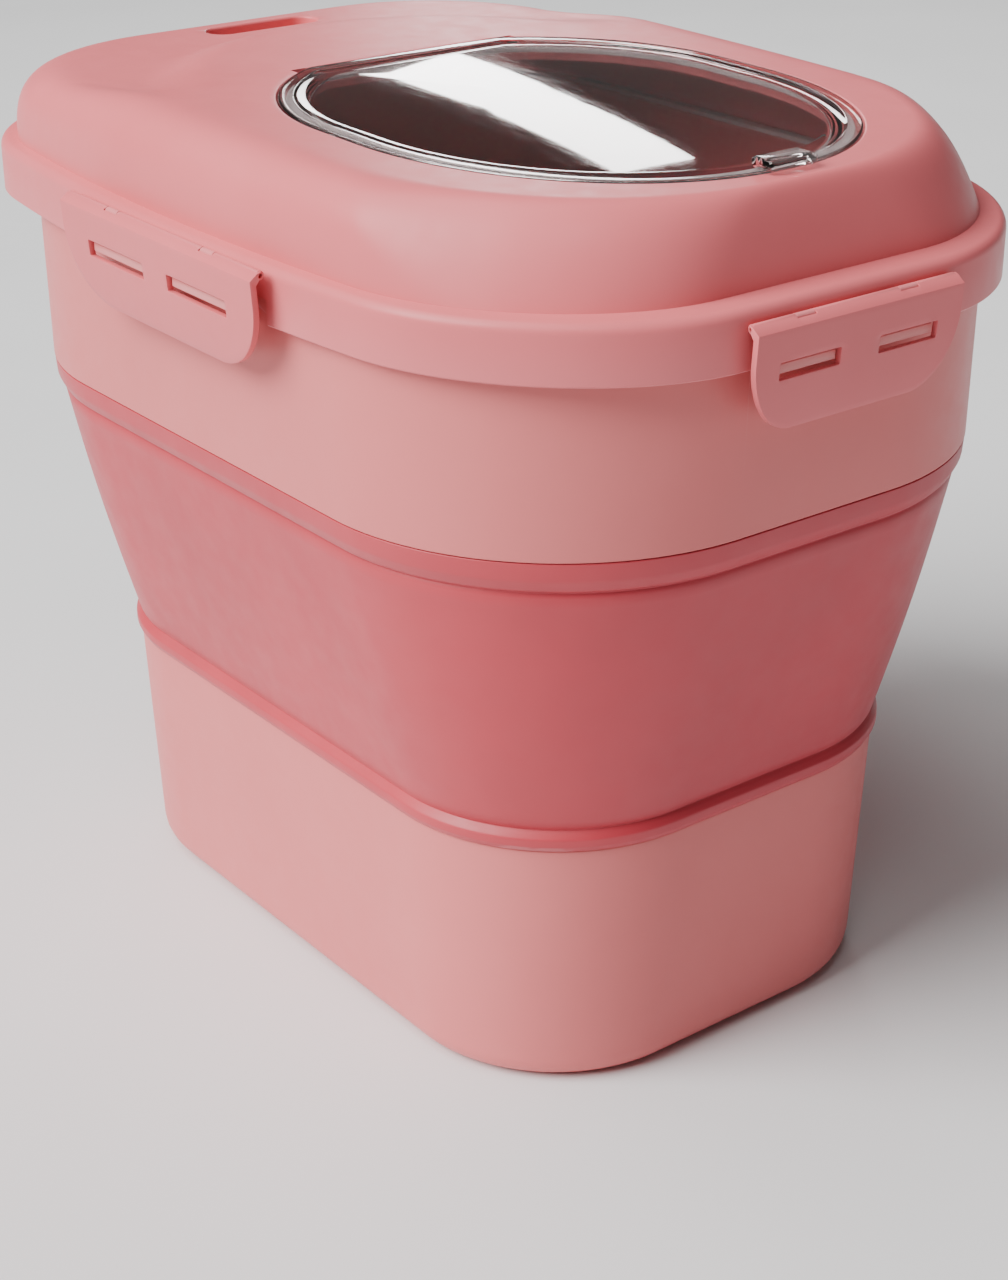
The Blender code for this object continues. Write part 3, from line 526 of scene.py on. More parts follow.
def deck_surface(x, y):
    """The lid's top: a gently sloping deck, stepping down behind the window."""
    radius = math.hypot(x, y - STEP_CENTRE_Y)
    drop = smoothstep(STEP_INNER_RADIUS, STEP_OUTER_RADIUS, radius) * smoothstep(*STEP_FADE, y)
    level = mix(window_plane(x, y), window_plane(0.0, 0.0) + DECK_SLOPE * STEP_FADE[1], drop)
    return level - STEP_DROP * drop


# ---------------------------------------------------------------- mesh helpers


def rounded(corners):
    """A closed profile through corners of (inset, height, radius), each rounded with an arc."""
    profile = []
    for index, (inset, height, radius) in enumerate(corners):
        here = Vector((inset, height))
        if radius == 0:
            profile.append(tuple(here))
            continue
        to_last = (Vector(corners[index - 1][:2]) - here).normalized()
        to_next = (Vector(corners[(index + 1) % len(corners)][:2]) - here).normalized()
        half = to_last.angle(to_next) / 2
        centre = here + (to_last + to_next).normalized() * radius / math.sin(half)
        start = here + to_last * radius / math.tan(half) - centre
        end = here + to_next * radius / math.tan(half) - centre
        turn = start.angle(end)
        steps = max(2, round(turn / FILLET_STEP))
        for step in range(steps + 1):
            share = step / steps
            arm = start * math.sin((1 - share) * turn) + end * math.sin(share * turn)
            profile.append(tuple(centre + arm / math.sin(turn)))
    return profile


def smooth(mesh, sharp=38):
    mesh.shade_smooth()
    mesh.set_sharp_from_angle(angle=math.radians(sharp))


def object_from(name, bm, sharp=38):
    bmesh.ops.recalc_face_normals(bm, faces=bm.faces)
    mesh = bpy.data.meshes.new(name)
    bm.to_mesh(mesh)
    bm.free()
    smooth(mesh, sharp)
    obj = bpy.data.objects.new(name, mesh)
    bpy.context.scene.collection.objects.link(obj)
    return obj


def skin(name, loops, tube=False, sharp=38):
    """One closed body through loops of equally many points: its ends are joined, or capped."""
    bm = bmesh.new()
    rows = [[bm.verts.new(point) for point in loop] for loop in loops]
    pairs = list(zip(rows, rows[1:]))
    if tube:
        pairs.append((rows[-1], rows[0]))
    else:
        bm.faces.new(rows[0])
        bm.faces.new(rows[-1])
    for low, high in pairs:
        for index in range(len(low)):
            after = (index + 1) % len(low)
            bm.faces.new((low[index], low[after], high[after], high[index]))
    return object_from(name, bm, sharp)


def add_box(bm, low, high, place=Matrix(), rounding=0.0):
    """A box between two corners, its edges rounded."""
    centre = [(a + b) / 2 for a, b in zip(low, high)]
    size = [b - a for a, b in zip(low, high)]
    matrix = place @ Matrix.Translation(centre) @ Matrix.Diagonal((*size, 1.0))
    made = bmesh.ops.create_cube(bm, size=1.0, matrix=matrix)["verts"]
    if rounding:
        edges = {edge for vert in made for edge in vert.link_edges}
        bmesh.ops.bevel(bm, geom=list(edges), offset=rounding, segments=3, profile=0.5, affect="EDGES")


def add_rod(bm, radius, start, end, height, out, place=Matrix()):
    """A round bar along local X, from start to end, at the given place across it."""
    matrix = place @ Matrix.Translation(((start + end) / 2, out, height))
    matrix = matrix @ Matrix.Rotation(math.radians(90), 4, "Y")
    bmesh.ops.create_cone(
        bm,
        cap_ends=True,
        segments=ROUND_SIDES,
        radius1=radius,
        radius2=radius,
        depth=end - start,
        matrix=matrix,
    )


def apply_modifiers(obj, sharp=38):
    bpy.context.view_layer.update()
    evaluated = obj.evaluated_get(bpy.context.evaluated_depsgraph_get())
    mesh = bpy.data.meshes.new_from_object(evaluated)
    obj.modifiers.clear()
    obj.data = mesh
    smooth(mesh, sharp)


def combine(target, other, operation, sharp=38):
    """Unites target with another body, or cuts that body out of it, and removes the other."""
    modifier = target.modifiers.new(operation, "BOOLEAN")
    modifier.operation = operation
    modifier.object = other
    apply_modifiers(target, sharp)
    bpy.data.objects.remove(other, do_unlink=True)


def soften_edges(obj, width, segments=2, limit=40):
    modifier = obj.modifiers.new("soften", "BEVEL")
    modifier.width = width
    modifier.segments = segments
    modifier.limit_method = "ANGLE"
    modifier.angle_limit = math.radians(limit)
    modifier.harden_normals = False
    apply_modifiers(obj)


def finish_piece(obj, material, body, node):
    """Gives a piece its material, and lets it stand for its node on that node's body."""
    obj.data.materials.clear()
    obj.data.materials.append(material)
    if body is not None:
        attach(obj, body)
    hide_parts(node)
    return obj


# ---------------------------------------------------------------- body


def make_tub(material):
    """An open tub with a rounded foot and a thinner rim that the fold band grips."""
    rim = TUB_TOP_INSET + TUB_RIM_STEP
    foot = TUB_FOOT_INSET
    outer = TUB_TOP_INSET + TUB_TOP_RELIEF
    floor_inset = foot + TUB_FLOOR_MARGIN * TUB_FOOT_FILLET
    profile = rounded(
        [
            (floor_inset, 0.0, 0),
            (foot, 0.0, TUB_FOOT_FILLET),
            (outer, TUB_TOP, EDGE),
            (rim, TUB_TOP, 0),
            (rim, TUB_RIM_TOP, RIM_EDGE),
            (rim + WALL, TUB_RIM_TOP, RIM_EDGE),
            (foot + WALL, WALL, TUB_FOOT_FILLET - WALL),
            (floor_inset, WALL, 0),
        ]
    )
    loops = [at_height(body_outline(inset), height) for inset, height in profile]
    tub = skin("tub_shell", loops)
    return finish_piece(tub, material, "tub", "lower_tub")


def panel_line(share):
    """The fold panel's inset and height, a share of the way up. It bows out slightly."""
    crown = PANEL_CROWN * math.sin(math.pi * share)
    inset = mix(TUB_TOP_INSET, PANEL_TOP_INSET, share) - crown
    return inset, mix(LOWER_CREASE + PANEL_MARGIN, UPPER_CREASE - PANEL_MARGIN, share)


def make_band(material):
    """The soft wall between tub and ring: two gripping strips and the panel that turns inside out."""
    low, high = TUB_TOP_INSET, PANEL_TOP_INSET
    bulge_foot, bulge_top = BAND_BULGE_SPAN
    panel = [panel_line(step / PANEL_STEPS) for step in range(PANEL_STEPS + 1)]
    grip = RING_BOTTOM_INSET + RING_TONGUE_STEP - GAP
    rim = TUB_TOP_INSET + TUB_RIM_STEP - GAP
    corners = [
        (low - TUB_TOP_RELIEF, TUB_TOP + GAP, FINE_EDGE),
        (low - BAND_BULGE, TUB_TOP + bulge_foot, BAND_BULGE_EDGE),
        (low - BAND_BULGE, TUB_TOP + bulge_top, BAND_BULGE_EDGE),
        (low, LOWER_CREASE - LOWER_CREASE_RISE, RIM_EDGE),
        (low + LOWER_CREASE_DEPTH, LOWER_CREASE, CREASE_EDGE),
    ]
    corners += [(inset, height, 0) for inset, height in panel]
    corners += [
        (high + UPPER_CREASE_DEPTH, UPPER_CREASE, FINE_EDGE),
        (high - SHOULDER_PROUD, UPPER_CREASE + SHOULDER_FOOT, FINE_EDGE),
        (RING_BOTTOM_INSET + SHOULDER_INSET, UPPER_CREASE + SHOULDER_HEIGHT, SHOULDER_EDGE),
        (RING_BOTTOM_INSET + STRIP_INSET, RING_BOTTOM - GAP, CREASE_EDGE),
        (grip, RING_BOTTOM - GAP, 0),
        (grip, RING_TONGUE_BOTTOM - GAP, 0),
        (grip + GRIP_LIP, RING_TONGUE_BOTTOM - GAP, CREASE_EDGE),
        (high + UPPER_CREASE_DEPTH + BAND_THICKNESS, UPPER_CREASE, CREASE_EDGE),
    ]
    corners += [(inset + BAND_THICKNESS, height, 0) for inset, height in reversed(panel)]
    corners += [
        (rim + STRIP_INSET, TUB_RIM_TOP + STRIP_RISE, CREASE_EDGE),
        (rim, TUB_RIM_TOP, 0),
        (rim, TUB_TOP + GAP, 0),
    ]
    loops = [at_height(body_outline(inset), height) for inset, height in rounded(corners)]
    band = skin("fold_band_skin", loops, tube=True, sharp=60)
    finish_piece(band, material, None, "fold_band")
    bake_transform(band)
    return band


def make_ring(material):
    """The rigid ring under the lid, with the tongues that the latches snap over."""
    step = RING_BOTTOM_INSET + RING_TONGUE_STEP
    slope_foot, slope_top = RING_FOOT_SLOPE
    profile = rounded(
        [
            (RING_BOTTOM_INSET, RING_BOTTOM, EDGE),
            (RING_TOP_INSET, SKIRT_BOTTOM, 0),
            (RING_TOP_INSET, RING_RIM_TOP, RING_TOP_EDGE),
            (RING_TOP_INSET + RING_RIM_WIDTH, RING_RIM_TOP, RIM_EDGE),
            (RING_TOP_INSET + RING_RIM_WIDTH, RING_RIM_TOP - RING_RIM_HEIGHT, CREASE_EDGE),
            (RING_TOP_INSET + WALL, RING_RIM_TOP - RING_RIM_SLOPE, 0),
            (RING_BOTTOM_INSET + WALL, RING_BOTTOM + slope_top, 0),
            (step + WALL, RING_BOTTOM + slope_foot, 0),
            (step + WALL, RING_TONGUE_BOTTOM, FINE_EDGE),
            (step, RING_TONGUE_BOTTOM, FINE_EDGE),
            (step, RING_BOTTOM, 0),
        ]
    )
    loops = [at_height(body_outline(inset), height) for inset, height in profile]
    ring = skin("ring_shell", loops, tube=True)
    tongues = bmesh.new()
    for latch in LATCHES.values():
        body_reach = LID_HALF_LENGTH if latch["turn"] in (0, 180) else BODY_HALF_WIDTH
        root = latch_reach(latch) - body_reach + RING_TOP_INSET + WALL / 2
        middle = latch["top"] - LATCH_SLOT_DROP + TONGUE_RISE
        half = latch["slot"] / 2 - TONGUE_SIDE_GAP
        for side in (-1, 1):
            centre = side * latch["slots_apart"] / 2
            low = (centre - half, -TONGUE_REACH, middle - TONGUE_HEIGHT / 2)
            high = (centre + half, root, middle + TONGUE_HEIGHT / 2)
            add_box(tongues, low, high, latch_place(latch), FINE_EDGE)
    combine(ring, object_from("tongues", tongues), "UNION")
    return finish_piece(ring, material, "upper", "upper_ring")


# ---------------------------------------------------------------- lid


def dome_section(share, share_front):
    """Inwards and upwards shares along the dome's side: round, or a slope under a tight edge in front."""
    angle = math.pi / 2 * share
    round_in = 1 - math.cos(angle) ** DOME_FULLNESS if share < 1 else 1.0
    round_up = math.sin(angle) ** DOME_FULLNESS
    return mix(round_in, share, share_front), mix(round_up, 1 - (1 - share) ** 2, share_front)


def dome_loops(inset, lift):
    """Loops from the dome's foot to the window, on the lid's top or, lowered, on its underside."""
    foot = dome_foot(inset)
    deck = deck_outline()
    extra = WALL if lift else OPENING_LIP
    window = window_outline(WINDOW_CLEARANCE + extra, WINDOW_REAR_GAP + extra)
    foot_height = FLANGE_TOP + DOME_FOOT_RISE - lift
    columns = []
    for (fx, fy), (dx, dy), (wx, wy) in zip(foot, deck, window):
        share_front = smoothstep(*DOME_FRONT_FADE, fy)
        top = deck_surface(dx, dy) - lift
        column = []
        for step in range(DOME_STEPS + 1):
            in_, up = dome_section(step / DOME_STEPS, share_front)
            column.append((mix(fx, dx, in_), mix(fy, dy, in_), mix(foot_height, top, up)))
        for step in range(1, DECK_STEPS + 1):
            x, y = mix(dx, wx, step / DECK_STEPS), mix(dy, wy, step / DECK_STEPS)
            column.append((x, y, deck_surface(x, y) - lift))
        columns.append(column)
    return [list(loop) for loop in zip(*columns)]


def quarter(steps):
    """Sine and cosine around a quarter turn."""
    angles = [math.pi / 2 * step / steps for step in range(steps + 1)]
    return [(math.sin(angle), math.cos(angle)) for angle in angles]


def make_lid(material):
    """Skirt, flange, dome and the rebated window opening, in one even wall."""
    foot_edge = 0.0005
    loops = [at_height(lid_outline(foot_edge), SKIRT_BOTTOM)]
    loops.append(at_height(lid_outline(0.0), SKIRT_BOTTOM + foot_edge))
    for sine, cosine in quarter(FLANGE_EDGE_STEPS):
        radius = FLANGE_EDGE_RADIUS
        loops.append(at_height(lid_outline(radius * (1 - cosine)), FLANGE_TOP - radius * (1 - sine)))
    loops += dome_loops(0.0, 0.0)
    ledge = lambda x, y: window_plane(x, y) - WINDOW_LEDGE_DEPTH
    under = lambda x, y: ledge(x, y) - WALL
    for sine, cosine in quarter(OPENING_LIP_STEPS)[1:]:
        grow = OPENING_LIP * (1 - sine)
        lowered = lambda x, y, fall=OPENING_LIP * (1 - cosine): deck_surface(x, y) - fall
        loops.append(at_height(window_outline(WINDOW_CLEARANCE + grow, WINDOW_REAR_GAP + grow), lowered))
    loops.append(at_height(window_outline(WINDOW_CLEARANCE, WINDOW_REAR_GAP), ledge))
    loops.append(at_height(window_outline(-WINDOW_LEDGE_WIDTH), ledge))
    loops.append(at_height(window_outline(-WINDOW_LEDGE_WIDTH), under))
    loops.append(at_height(window_outline(WINDOW_CLEARANCE + WALL, WINDOW_REAR_GAP + WALL), under))
    loops += reversed(dome_loops(WALL, WALL))
    loops.append(at_height(dome_foot(WALL - DOME_FOOT_ROOM), FLANGE_TOP - WALL))
    loops.append(at_height(lid_outline(WALL), FLANGE_TOP - WALL))
    loops.append(at_height(lid_outline(WALL), SKIRT_BOTTOM))
    lid = skin("lid_shell_skin", loops, tube=True)
    for addition in lid_additions():
        combine(lid, addition, "UNION")
    for cut in lid_cuts():
        combine(lid, cut, "DIFFERENCE")
    return finish_piece(lid, material, "upper", "lid_shell")


def lid_additions():
    """The latch lugs and their roots, the slot's pocket and the block behind the window's hinge."""
    lugs, roots, pockets = bmesh.new(), bmesh.new(), bmesh.new()
    for latch in LATCHES.values():
        place, height = latch_place(latch), latch_axis_height(latch)
        for centre in lug_centres(latch):
            start, end = centre - LUG_WIDTH / 2, centre + LUG_WIDTH / 2
            add_rod(lugs, LATCH_BARREL, start, end, height, -LATCH_AXIS_OUT, place)
            low = (start, -LATCH_AXIS_OUT, height - LATCH_BARREL)
            add_box(roots, low, (end, WALL * LUG_ROOT_WALL, height - LATCH_BARREL / 3), place)
    lug_object = object_from("lugs", lugs)
    combine(lug_object, object_from("lug_roots", roots), "UNION")
    floor = deck_surface(0.0, SLOT_Y) - SLOT_DEPTH - WALL
    pocket = skin("pocket", [at_height(slot_outline(WALL), height) for height in (floor, floor + SLOT_DEPTH)])
    axis_y, axis_z = window_axis()
    reach = HINGE_POCKET_HALF_LENGTH + 2 * WALL
    rear = axis_y + HINGE_POCKET_DEPTH + WALL * HINGE_BLOCK_WALL
    low = (-reach, axis_y - HINGE_BLOCK_FRONT, axis_z - WINDOW_LEDGE_DEPTH)
    high = (reach, rear, window_plane(0.0, axis_y) - HINGE_BLOCK_SINK)
    add_box(pockets, low, high)
    return lug_object, pocket, object_from("hinge_block", pockets)


def lid_cuts():
    """The slot with its rounded lip, the skirt's notches, the hinge pocket and the pin holes."""
    surface = deck_surface(0.0, SLOT_Y)
    floor_fillet = 0.0014
    loops = [at_height(slot_outline(-2 * floor_fillet), surface - SLOT_DEPTH)]
    for sine, cosine in quarter(SLOT_FLOOR_STEPS):
        height = surface - SLOT_DEPTH + floor_fillet * (1 - cosine)
        loops.append(at_height(slot_outline(-floor_fillet * (1 - sine)), height))
    for sine, cosine in quarter(SLOT_LIP_STEPS):
        height = surface - SLOT_LIP * (1 - sine) + SLOT_OVERRUN
        loops.append(at_height(slot_outline(SLOT_LIP * (1 - cosine)), height))
    loops.append(at_height(slot_outline(SLOT_LIP), surface + SLOT_DEPTH))
    slot = skin("slot", loops)
    notches, holes = bmesh.new(), bmesh.new()
    hole = LATCH_PIN_RADIUS + HOLE_CLEARANCE
    for latch in LATCHES.values():
        place = latch_place(latch)
        half = latch["half_width"] - NOTCH_END_MARGIN
        high = (half, 3 * WALL, latch["top"] - LATCH_SLOT_DROP + NOTCH_TOP_RISE)
        low = (-half, -NOTCH_OVERRUN, SKIRT_BOTTOM - NOTCH_OVERRUN)
        add_box(notches, low, high, place)
        for centre in lug_centres(latch):
            start, end = centre - LUG_WIDTH, centre + LUG_WIDTH
            add_rod(holes, hole, start, end, latch_axis_height(latch), -LATCH_AXIS_OUT, place)
    axis_y, axis_z = window_axis()
    floor = axis_z - WINDOW_LEDGE_DEPTH + HINGE_POCKET_FOOT
    low = (-HINGE_POCKET_HALF_LENGTH, axis_y - HINGE_POCKET_FRONT, floor)
    high = (HINGE_POCKET_HALF_LENGTH, axis_y + HINGE_POCKET_DEPTH, axis_z + CUT_REACH)
    add_box(notches, low, high)
    return slot, object_from("notches", notches), object_from("holes", holes)


# ---------------------------------------------------------------- window


def window_axis():
    """The hinge line's y and z."""
    y = WINDOW_REAR - DOOR_AXIS_INSET
    return y, window_plane(0.0, y) + DOOR_ABOVE_DECK - DOOR_RIM_HEIGHT / 2


def make_window_seal(material):
    """A white ring with a rounded top, under the window's rim."""
    floor = lambda x, y: window_plane(x, y) - WINDOW_LEDGE_DEPTH + GAP
    outer, inner = -SEAL_INSET, -WINDOW_LEDGE_WIDTH + SEAL_INNER_MARGIN
    bead = RIM_EDGE
    loops = [at_height(window_outline(inner), floor), at_height(window_outline(outer), floor)]
    for sine, cosine in quarter(SEAL_BEAD_STEPS):
        top = lambda x, y, rise=SEAL_THICKNESS - bead * (1 - sine): floor(x, y) + rise
        loops.append(at_height(window_outline(outer - bead * (1 - cosine)), top))
    for sine, cosine in reversed(quarter(SEAL_BEAD_STEPS)):
        top = lambda x, y, rise=SEAL_THICKNESS - bead * (1 - sine): floor(x, y) + rise
        loops.append(at_height(window_outline(inner + bead * (1 - cosine)), top))
    seal = skin("window_seal_ring", loops, tube=True)
    return finish_piece(seal, material, "upper", "window_seal")


def make_window_door(material):
    """A clear crowned pane in a thicker rim, with a rounded grip in front."""
    top = lambda x, y: window_plane(x, y) + DOOR_ABOVE_DECK
    pane_edge = window_outline(-DOOR_RIM_WIDTH - DOOR_PANE_SLOPE)
    middle_y = (WINDOW_FRONT + WINDOW_REAR) / 2

    def pane_loops(drop):
        loops = []
        for step in range(1, DOOR_PANE_STEPS):
            scale = 1 - step / DOOR_PANE_STEPS
            rise = DOOR_PANE_CROWN * (1 - scale**2) - drop
            shrunk = [(x * scale, middle_y + (y - middle_y) * scale) for x, y in pane_edge]
            loops.append([(x, y, top(x, y) + rise) for x, y in shrunk])
        return loops

    loops = list(reversed(pane_loops(DOOR_PANE_DROP + DOOR_PANE_THICKNESS)))
    rim = rounded(
        [
            (-DOOR_RIM_WIDTH - DOOR_PANE_SLOPE, -DOOR_PANE_DROP - DOOR_PANE_THICKNESS, 0),
            (-DOOR_RIM_WIDTH, -DOOR_RIM_HEIGHT, RIM_EDGE),
            (0.0, -DOOR_RIM_HEIGHT, FINE_EDGE),
            (0.0, 0.0, DOOR_OUTER_EDGE),
            (-DOOR_RIM_WIDTH, 0.0, DOOR_INNER_EDGE),
            (-DOOR_RIM_WIDTH - DOOR_PANE_SLOPE, -DOOR_PANE_DROP, 0),
        ]
    )
    for grow, fall in rim:
        loops.append(at_height(window_outline(grow), lambda x, y, fall=fall: top(x, y) + fall))
    loops += pane_loops(DOOR_PANE_DROP)
    door = skin("window_door_clear", loops, sharp=DOOR_SHARP_ANGLE)
    combine(door, door_grip(), "UNION", DOOR_SHARP_ANGLE)
    axis_y, axis_z = window_axis()
    hole = bmesh.new()
    radius, reach = WINDOW_PIN_RADIUS + HOLE_CLEARANCE, PIN_HOLE_HALF_LENGTH
    add_rod(hole, radius, -reach, reach, axis_z, axis_y)
    combine(door, object_from("pin_hole", hole), "DIFFERENCE", DOOR_SHARP_ANGLE)
    return finish_piece(door, material, "window", "window_door")


def door_grip():
    """A rounded block on the rim whose front half reaches out over the lid."""
    front, rear = GRIP_SPAN
    level = window_plane(0.0, WINDOW_FRONT) + DOOR_ABOVE_DECK
    half = GRIP_HALF_WIDTH
    block, foot = bmesh.new(), bmesh.new()
    high = (half, rear, level + GRIP_HEIGHT)
    add_box(block, (-half, front, level + GRIP_LIFT), high, Matrix(), GRIP_ROUNDING)
    grip = object_from("grip", block)
    low = (-half + GRIP_FOOT_INSET, WINDOW_FRONT + GRIP_FOOT_FRONT, level - GRIP_FOOT_DEPTH)
    add_box(foot, low, (half - GRIP_FOOT_INSET, rear - GRIP_FOOT_INSET, level + GRIP_FOOT_TOP))
    combine(grip, object_from("grip_foot", foot), "UNION")
    return grip


# ---------------------------------------------------------------- latches


def latch_reach(latch):
    return LID_HALF_LENGTH if latch["turn"] in (0, 180) else LID_HALF_WIDTH


def latch_place(latch):
    """From a latch's own frame to its side of the lid."""
    turn = Matrix.Rotation(math.radians(latch["turn"]), 4, "Z")
    return turn @ Matrix.Translation((0, -latch_reach(latch), 0))


def latch_axis_height(latch):
    return latch["top"] + LATCH_AXIS_RISE


def lug_centres(latch):
    offset = latch["half_width"] * 0.5
    return (-offset, offset)


def latch_drop(latch, along):
    """How far the flap hangs down at a distance along it: flat in the middle, swept up at its ends."""
    corner = latch["half_width"] - latch["flat"]
    share = max(0.0, abs(along) - latch["flat"]) / corner
    curve = (1 - min(1.0, share) ** LATCH_CORNER_POWER) ** (1 / LATCH_CORNER_POWER)
    return LATCH_END_HEIGHT + (LATCH_HEIGHT - LATCH_END_HEIGHT) * curve


def latch_face(drop):
    """How far out the flap's face stands at a depth below its top edge."""
    share = drop / LATCH_HEIGHT
    dish = LATCH_DISH * math.sin(math.pi * share)
    return LATCH_PROUD - LATCH_LEAN * share - LATCH_CURL * share**3 - dish


def latch_columns(latch):
    """Distances along the latch: close together where its lower corners sweep up."""
    half, flat = latch["half_width"], latch["flat"]
    angles = [math.pi / 2 * step / LATCH_SWEEP_STEPS for step in range(LATCH_SWEEP_STEPS + 1)]
    sweep = [flat + (half - flat) * math.sin(angle) for angle in angles]
    steps = range(1 - LATCH_MIDDLE_STEPS, LATCH_MIDDLE_STEPS)
    middle = [flat * step / LATCH_MIDDLE_STEPS for step in steps]
    return [-x for x in reversed(sweep)] + middle + sweep


def make_latch(side, latch, material):
    """The flap: a curved plate under a sloping ledge, knuckles on the hinge line, and two slots."""
    top, axis_height = latch["top"], latch_axis_height(latch)
    loops = []
    for along in latch_columns(latch):
        drop = latch_drop(latch, along)
        outer, inner = [], []
        for row in range(LATCH_ROWS + 1):
            depth = drop * row / LATCH_ROWS
            outer.append((along, -latch_face(depth), top - depth))
            lowered = max(depth, LATCH_LEDGE + LATCH_ROW_STAGGER * row)
            inner.append((along, -latch_face(lowered) + LATCH_WALL, top - lowered))
        ledge = [
            (along, -LATCH_AXIS_OUT - 0.0002, axis_height - 0.0004),
            (along, -LATCH_AXIS_OUT, axis_height + LATCH_BARREL - 0.0001),
            (along, -LATCH_AXIS_OUT - 0.0016, axis_height + 0.0011),
        ]
        loops.append(outer + list(reversed(inner)) + ledge)
    flap = skin(f"latch_{side}_flap", loops)
    half = latch["half_width"]
    barrel, cuts, bore = bmesh.new(), bmesh.new(), bmesh.new()
    reach = half - LATCH_BARREL_MARGIN
    add_rod(barrel, LATCH_BARREL, -reach, reach, axis_height, -LATCH_AXIS_OUT)
    combine(flap, object_from("barrel", barrel), "UNION")
    middle = top - LATCH_SLOT_DROP
    for sign in (-1, 1):
        centre = sign * latch["slots_apart"] / 2
        low = (centre - latch["slot"] / 2, -2 * CUT_REACH, middle - LATCH_SLOT_HEIGHT / 2)
        high = (centre + latch["slot"] / 2, CUT_REACH, middle + LATCH_SLOT_HEIGHT / 2)
        add_box(cuts, low, high, Matrix(), RIM_EDGE)
    relief = LATCH_BARREL + LUG_CLEARANCE
    for centre in lug_centres(latch):
        start = centre - LUG_WIDTH / 2 - LUG_CLEARANCE
        end = centre + LUG_WIDTH / 2 + LUG_CLEARANCE
        low = (start, -LATCH_AXIS_OUT - relief, axis_height - relief)
        add_box(cuts, low, (end, CUT_REACH, axis_height + CUT_REACH))
    combine(flap, object_from("cuts", cuts), "DIFFERENCE")
    soften_edges(flap, LATCH_EDGE)
    radius, reach = LATCH_PIN_RADIUS + HOLE_CLEARANCE, half + CUT_REACH
    add_rod(bore, radius, -reach, reach, axis_height, -LATCH_AXIS_OUT)
    combine(flap, object_from("bore", bore), "DIFFERENCE")
    flap.data.transform(latch_place(latch))
    return finish_piece(flap, material, f"latch_{side}", f"latch_{side}")


# ---------------------------------------------------------------- studio


def make_floor(material):
    bm = bmesh.new()
    bmesh.ops.create_grid(bm, x_segments=8, y_segments=8, size=FLOOR_HALF_SIZE)
    floor = object_from("floor", bm)
    floor.location.z = -FLOOR_DROP
    floor.data.materials.append(material)


def make_camera():
    azimuth, roll = math.radians(CAMERA_AZIMUTH), math.radians(CAMERA_ROLL)
    back = direction(CAMERA_AZIMUTH, CAMERA_ELEVATION)
    right = Vector((math.cos(azimuth), math.sin(azimuth), 0.0))
    up = back.cross(right)
    rolled_right = right * math.cos(roll) + up * math.sin(roll)
    rolled_up = up * math.cos(roll) - right * math.sin(roll)
    place = Matrix((rolled_right, rolled_up, back)).transposed().to_4x4()
    target = Vector((0, 0, CAMERA_TARGET_HEIGHT)) + right * CAMERA_TARGET_RIGHT
    place.translation = target + back * CAMERA_DISTANCE
    data = bpy.data.cameras.new("camera")
    data.sensor_fit = "AUTO"
    data.sensor_width = SENSOR_WIDTH
    data.lens = CAMERA_LENS
    data.shift_x = CAMERA_SHIFT_X
    camera = bpy.data.objects.new("camera", data)
    camera.matrix_world = place
    bpy.context.scene.collection.objects.link(camera)
    bpy.context.scene.camera = camera


def direction(azimuth, elevation):
    """The unit vector towards a place seen at an azimuth and an elevation, in degrees."""
    azimuth, elevation = math.radians(azimuth), math.radians(elevation)
    level = math.cos(elevation)
    return Vector((math.sin(azimuth) * level, -math.cos(azimuth) * level, math.sin(elevation)))


def place_lamp(data, away, distance, spin=0.0):
    """Hangs a lamp in a direction from the lid, facing it and turned about its own beam."""
    lamp = bpy.data.objects.new(data.name, data)
    lamp.location = Vector((0, 0, LAMP_AIM_HEIGHT)) + away * distance
    facing = away.to_track_quat("Z", "Y").to_matrix() @ Matrix.Rotation(math.radians(spin), 3, "Z")
    lamp.rotation_euler = facing.to_euler()
    bpy.context.scene.collection.objects.link(lamp)


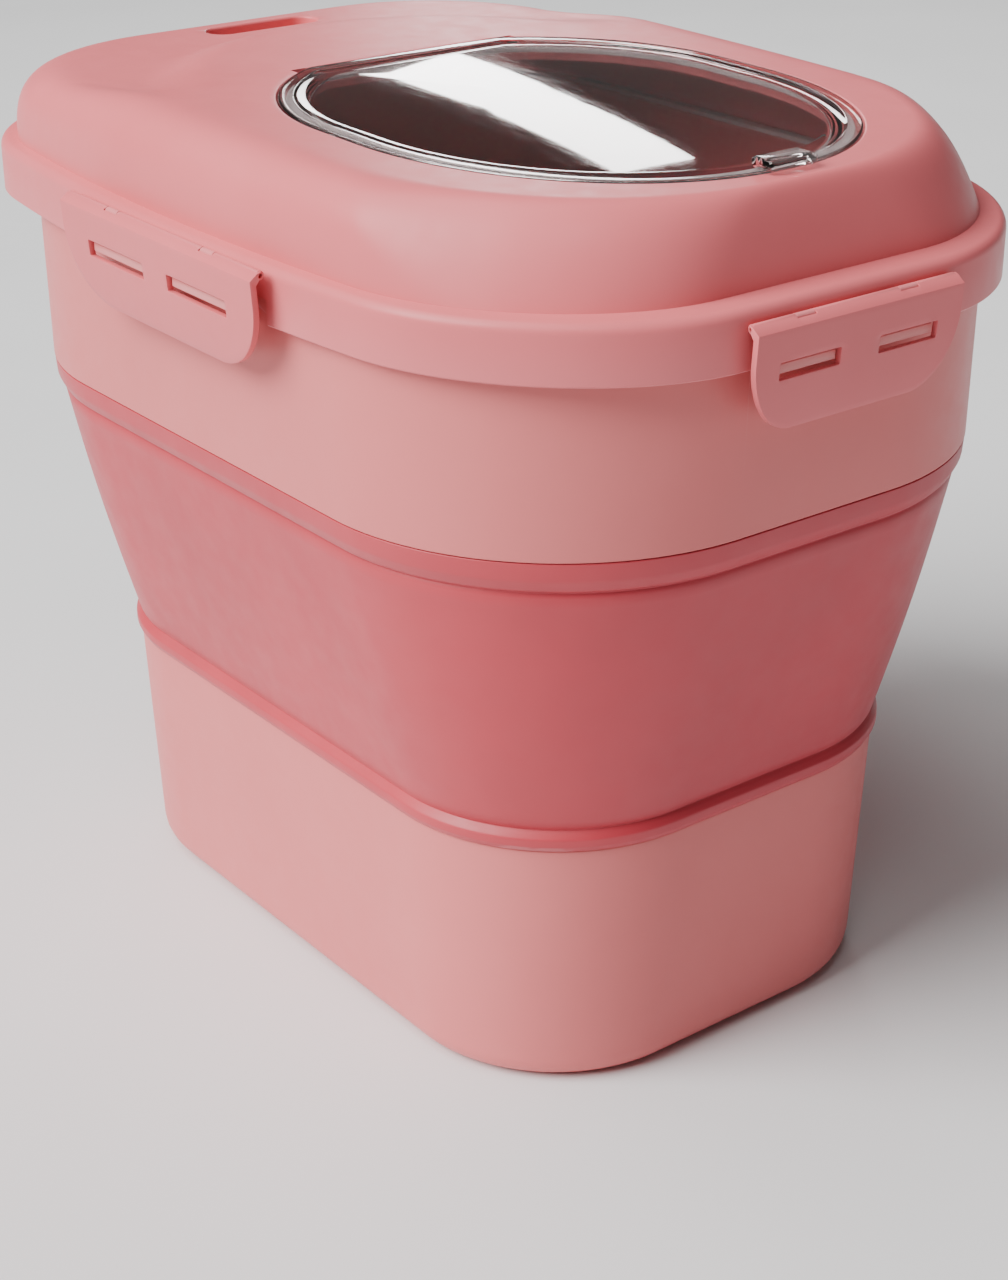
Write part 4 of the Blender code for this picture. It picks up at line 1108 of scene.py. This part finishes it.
def sun(name, azimuth, elevation, strength, softness):
    data = bpy.data.lights.new(name, "SUN")
    data.energy = strength
    data.angle = math.radians(softness)
    place_lamp(data, direction(azimuth, elevation), SUN_DISTANCE)


def softbox(name, azimuth, elevation, distance, size, power, spin=0.0):
    data = bpy.data.lights.new(name, "AREA")
    data.shape = "RECTANGLE"
    data.size, data.size_y = size
    data.energy = power
    place_lamp(data, direction(azimuth, elevation), distance, spin)


def make_lights():
    sun("key", azimuth=-104, elevation=41, strength=5.4, softness=40)
    strip = dict(distance=1.9, size=(0.14, 0.56), power=3.0, spin=36)
    softbox("window_strip", azimuth=141.3, elevation=18.6, **strip)
    softbox("dome_glow", azimuth=-40, elevation=56, distance=1.8, size=(0.5, 0.5), power=4)
    softbox("top_fill", azimuth=-130, elevation=68, distance=1.6, size=(1.0, 1.0), power=14)
    world = bpy.data.worlds.new("studio")
    world.use_nodes = True
    glow = world.node_tree.nodes["Background"]
    glow.inputs["Color"].default_value = (*STUDIO_WHITE, 1.0)
    glow.inputs["Strength"].default_value = WORLD_STRENGTH
    bpy.context.scene.world = world


def main():
    body_plastic = moulded_plastic("body_plastic", PINK, 0.42, 0.000006)
    lid_plastic = moulded_plastic("lid_plastic", LID_PINK, 0.38, 0.000006)
    band_rubber = soft_rubber("band_rubber", ROSE)
    seal_silicone = silicone("seal_silicone", SILICONE)
    window_clear = clear_plastic("window_clear", CLEAR)
    pin_steel = steel("pin_steel", STEEL)
    make_camera()
    make_floor(floor_paint("floor_paint", FLOOR))
    make_lights()
    make_tub(body_plastic)
    make_band(band_rubber)
    make_ring(body_plastic)
    make_lid(lid_plastic)
    make_window_seal(seal_silicone)
    make_window_door(window_clear)
    for side, latch in LATCHES.items():
        make_latch(side, latch, lid_plastic)
    carried = {"lid_gasket": seal_silicone, "window_hinge_pin": pin_steel}
    carried.update({f"latch_pin_{side}": pin_steel for side in LATCHES})
    for name, material in carried.items():
        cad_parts[name].data.materials.clear()
        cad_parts[name].data.materials.append(material)


main()
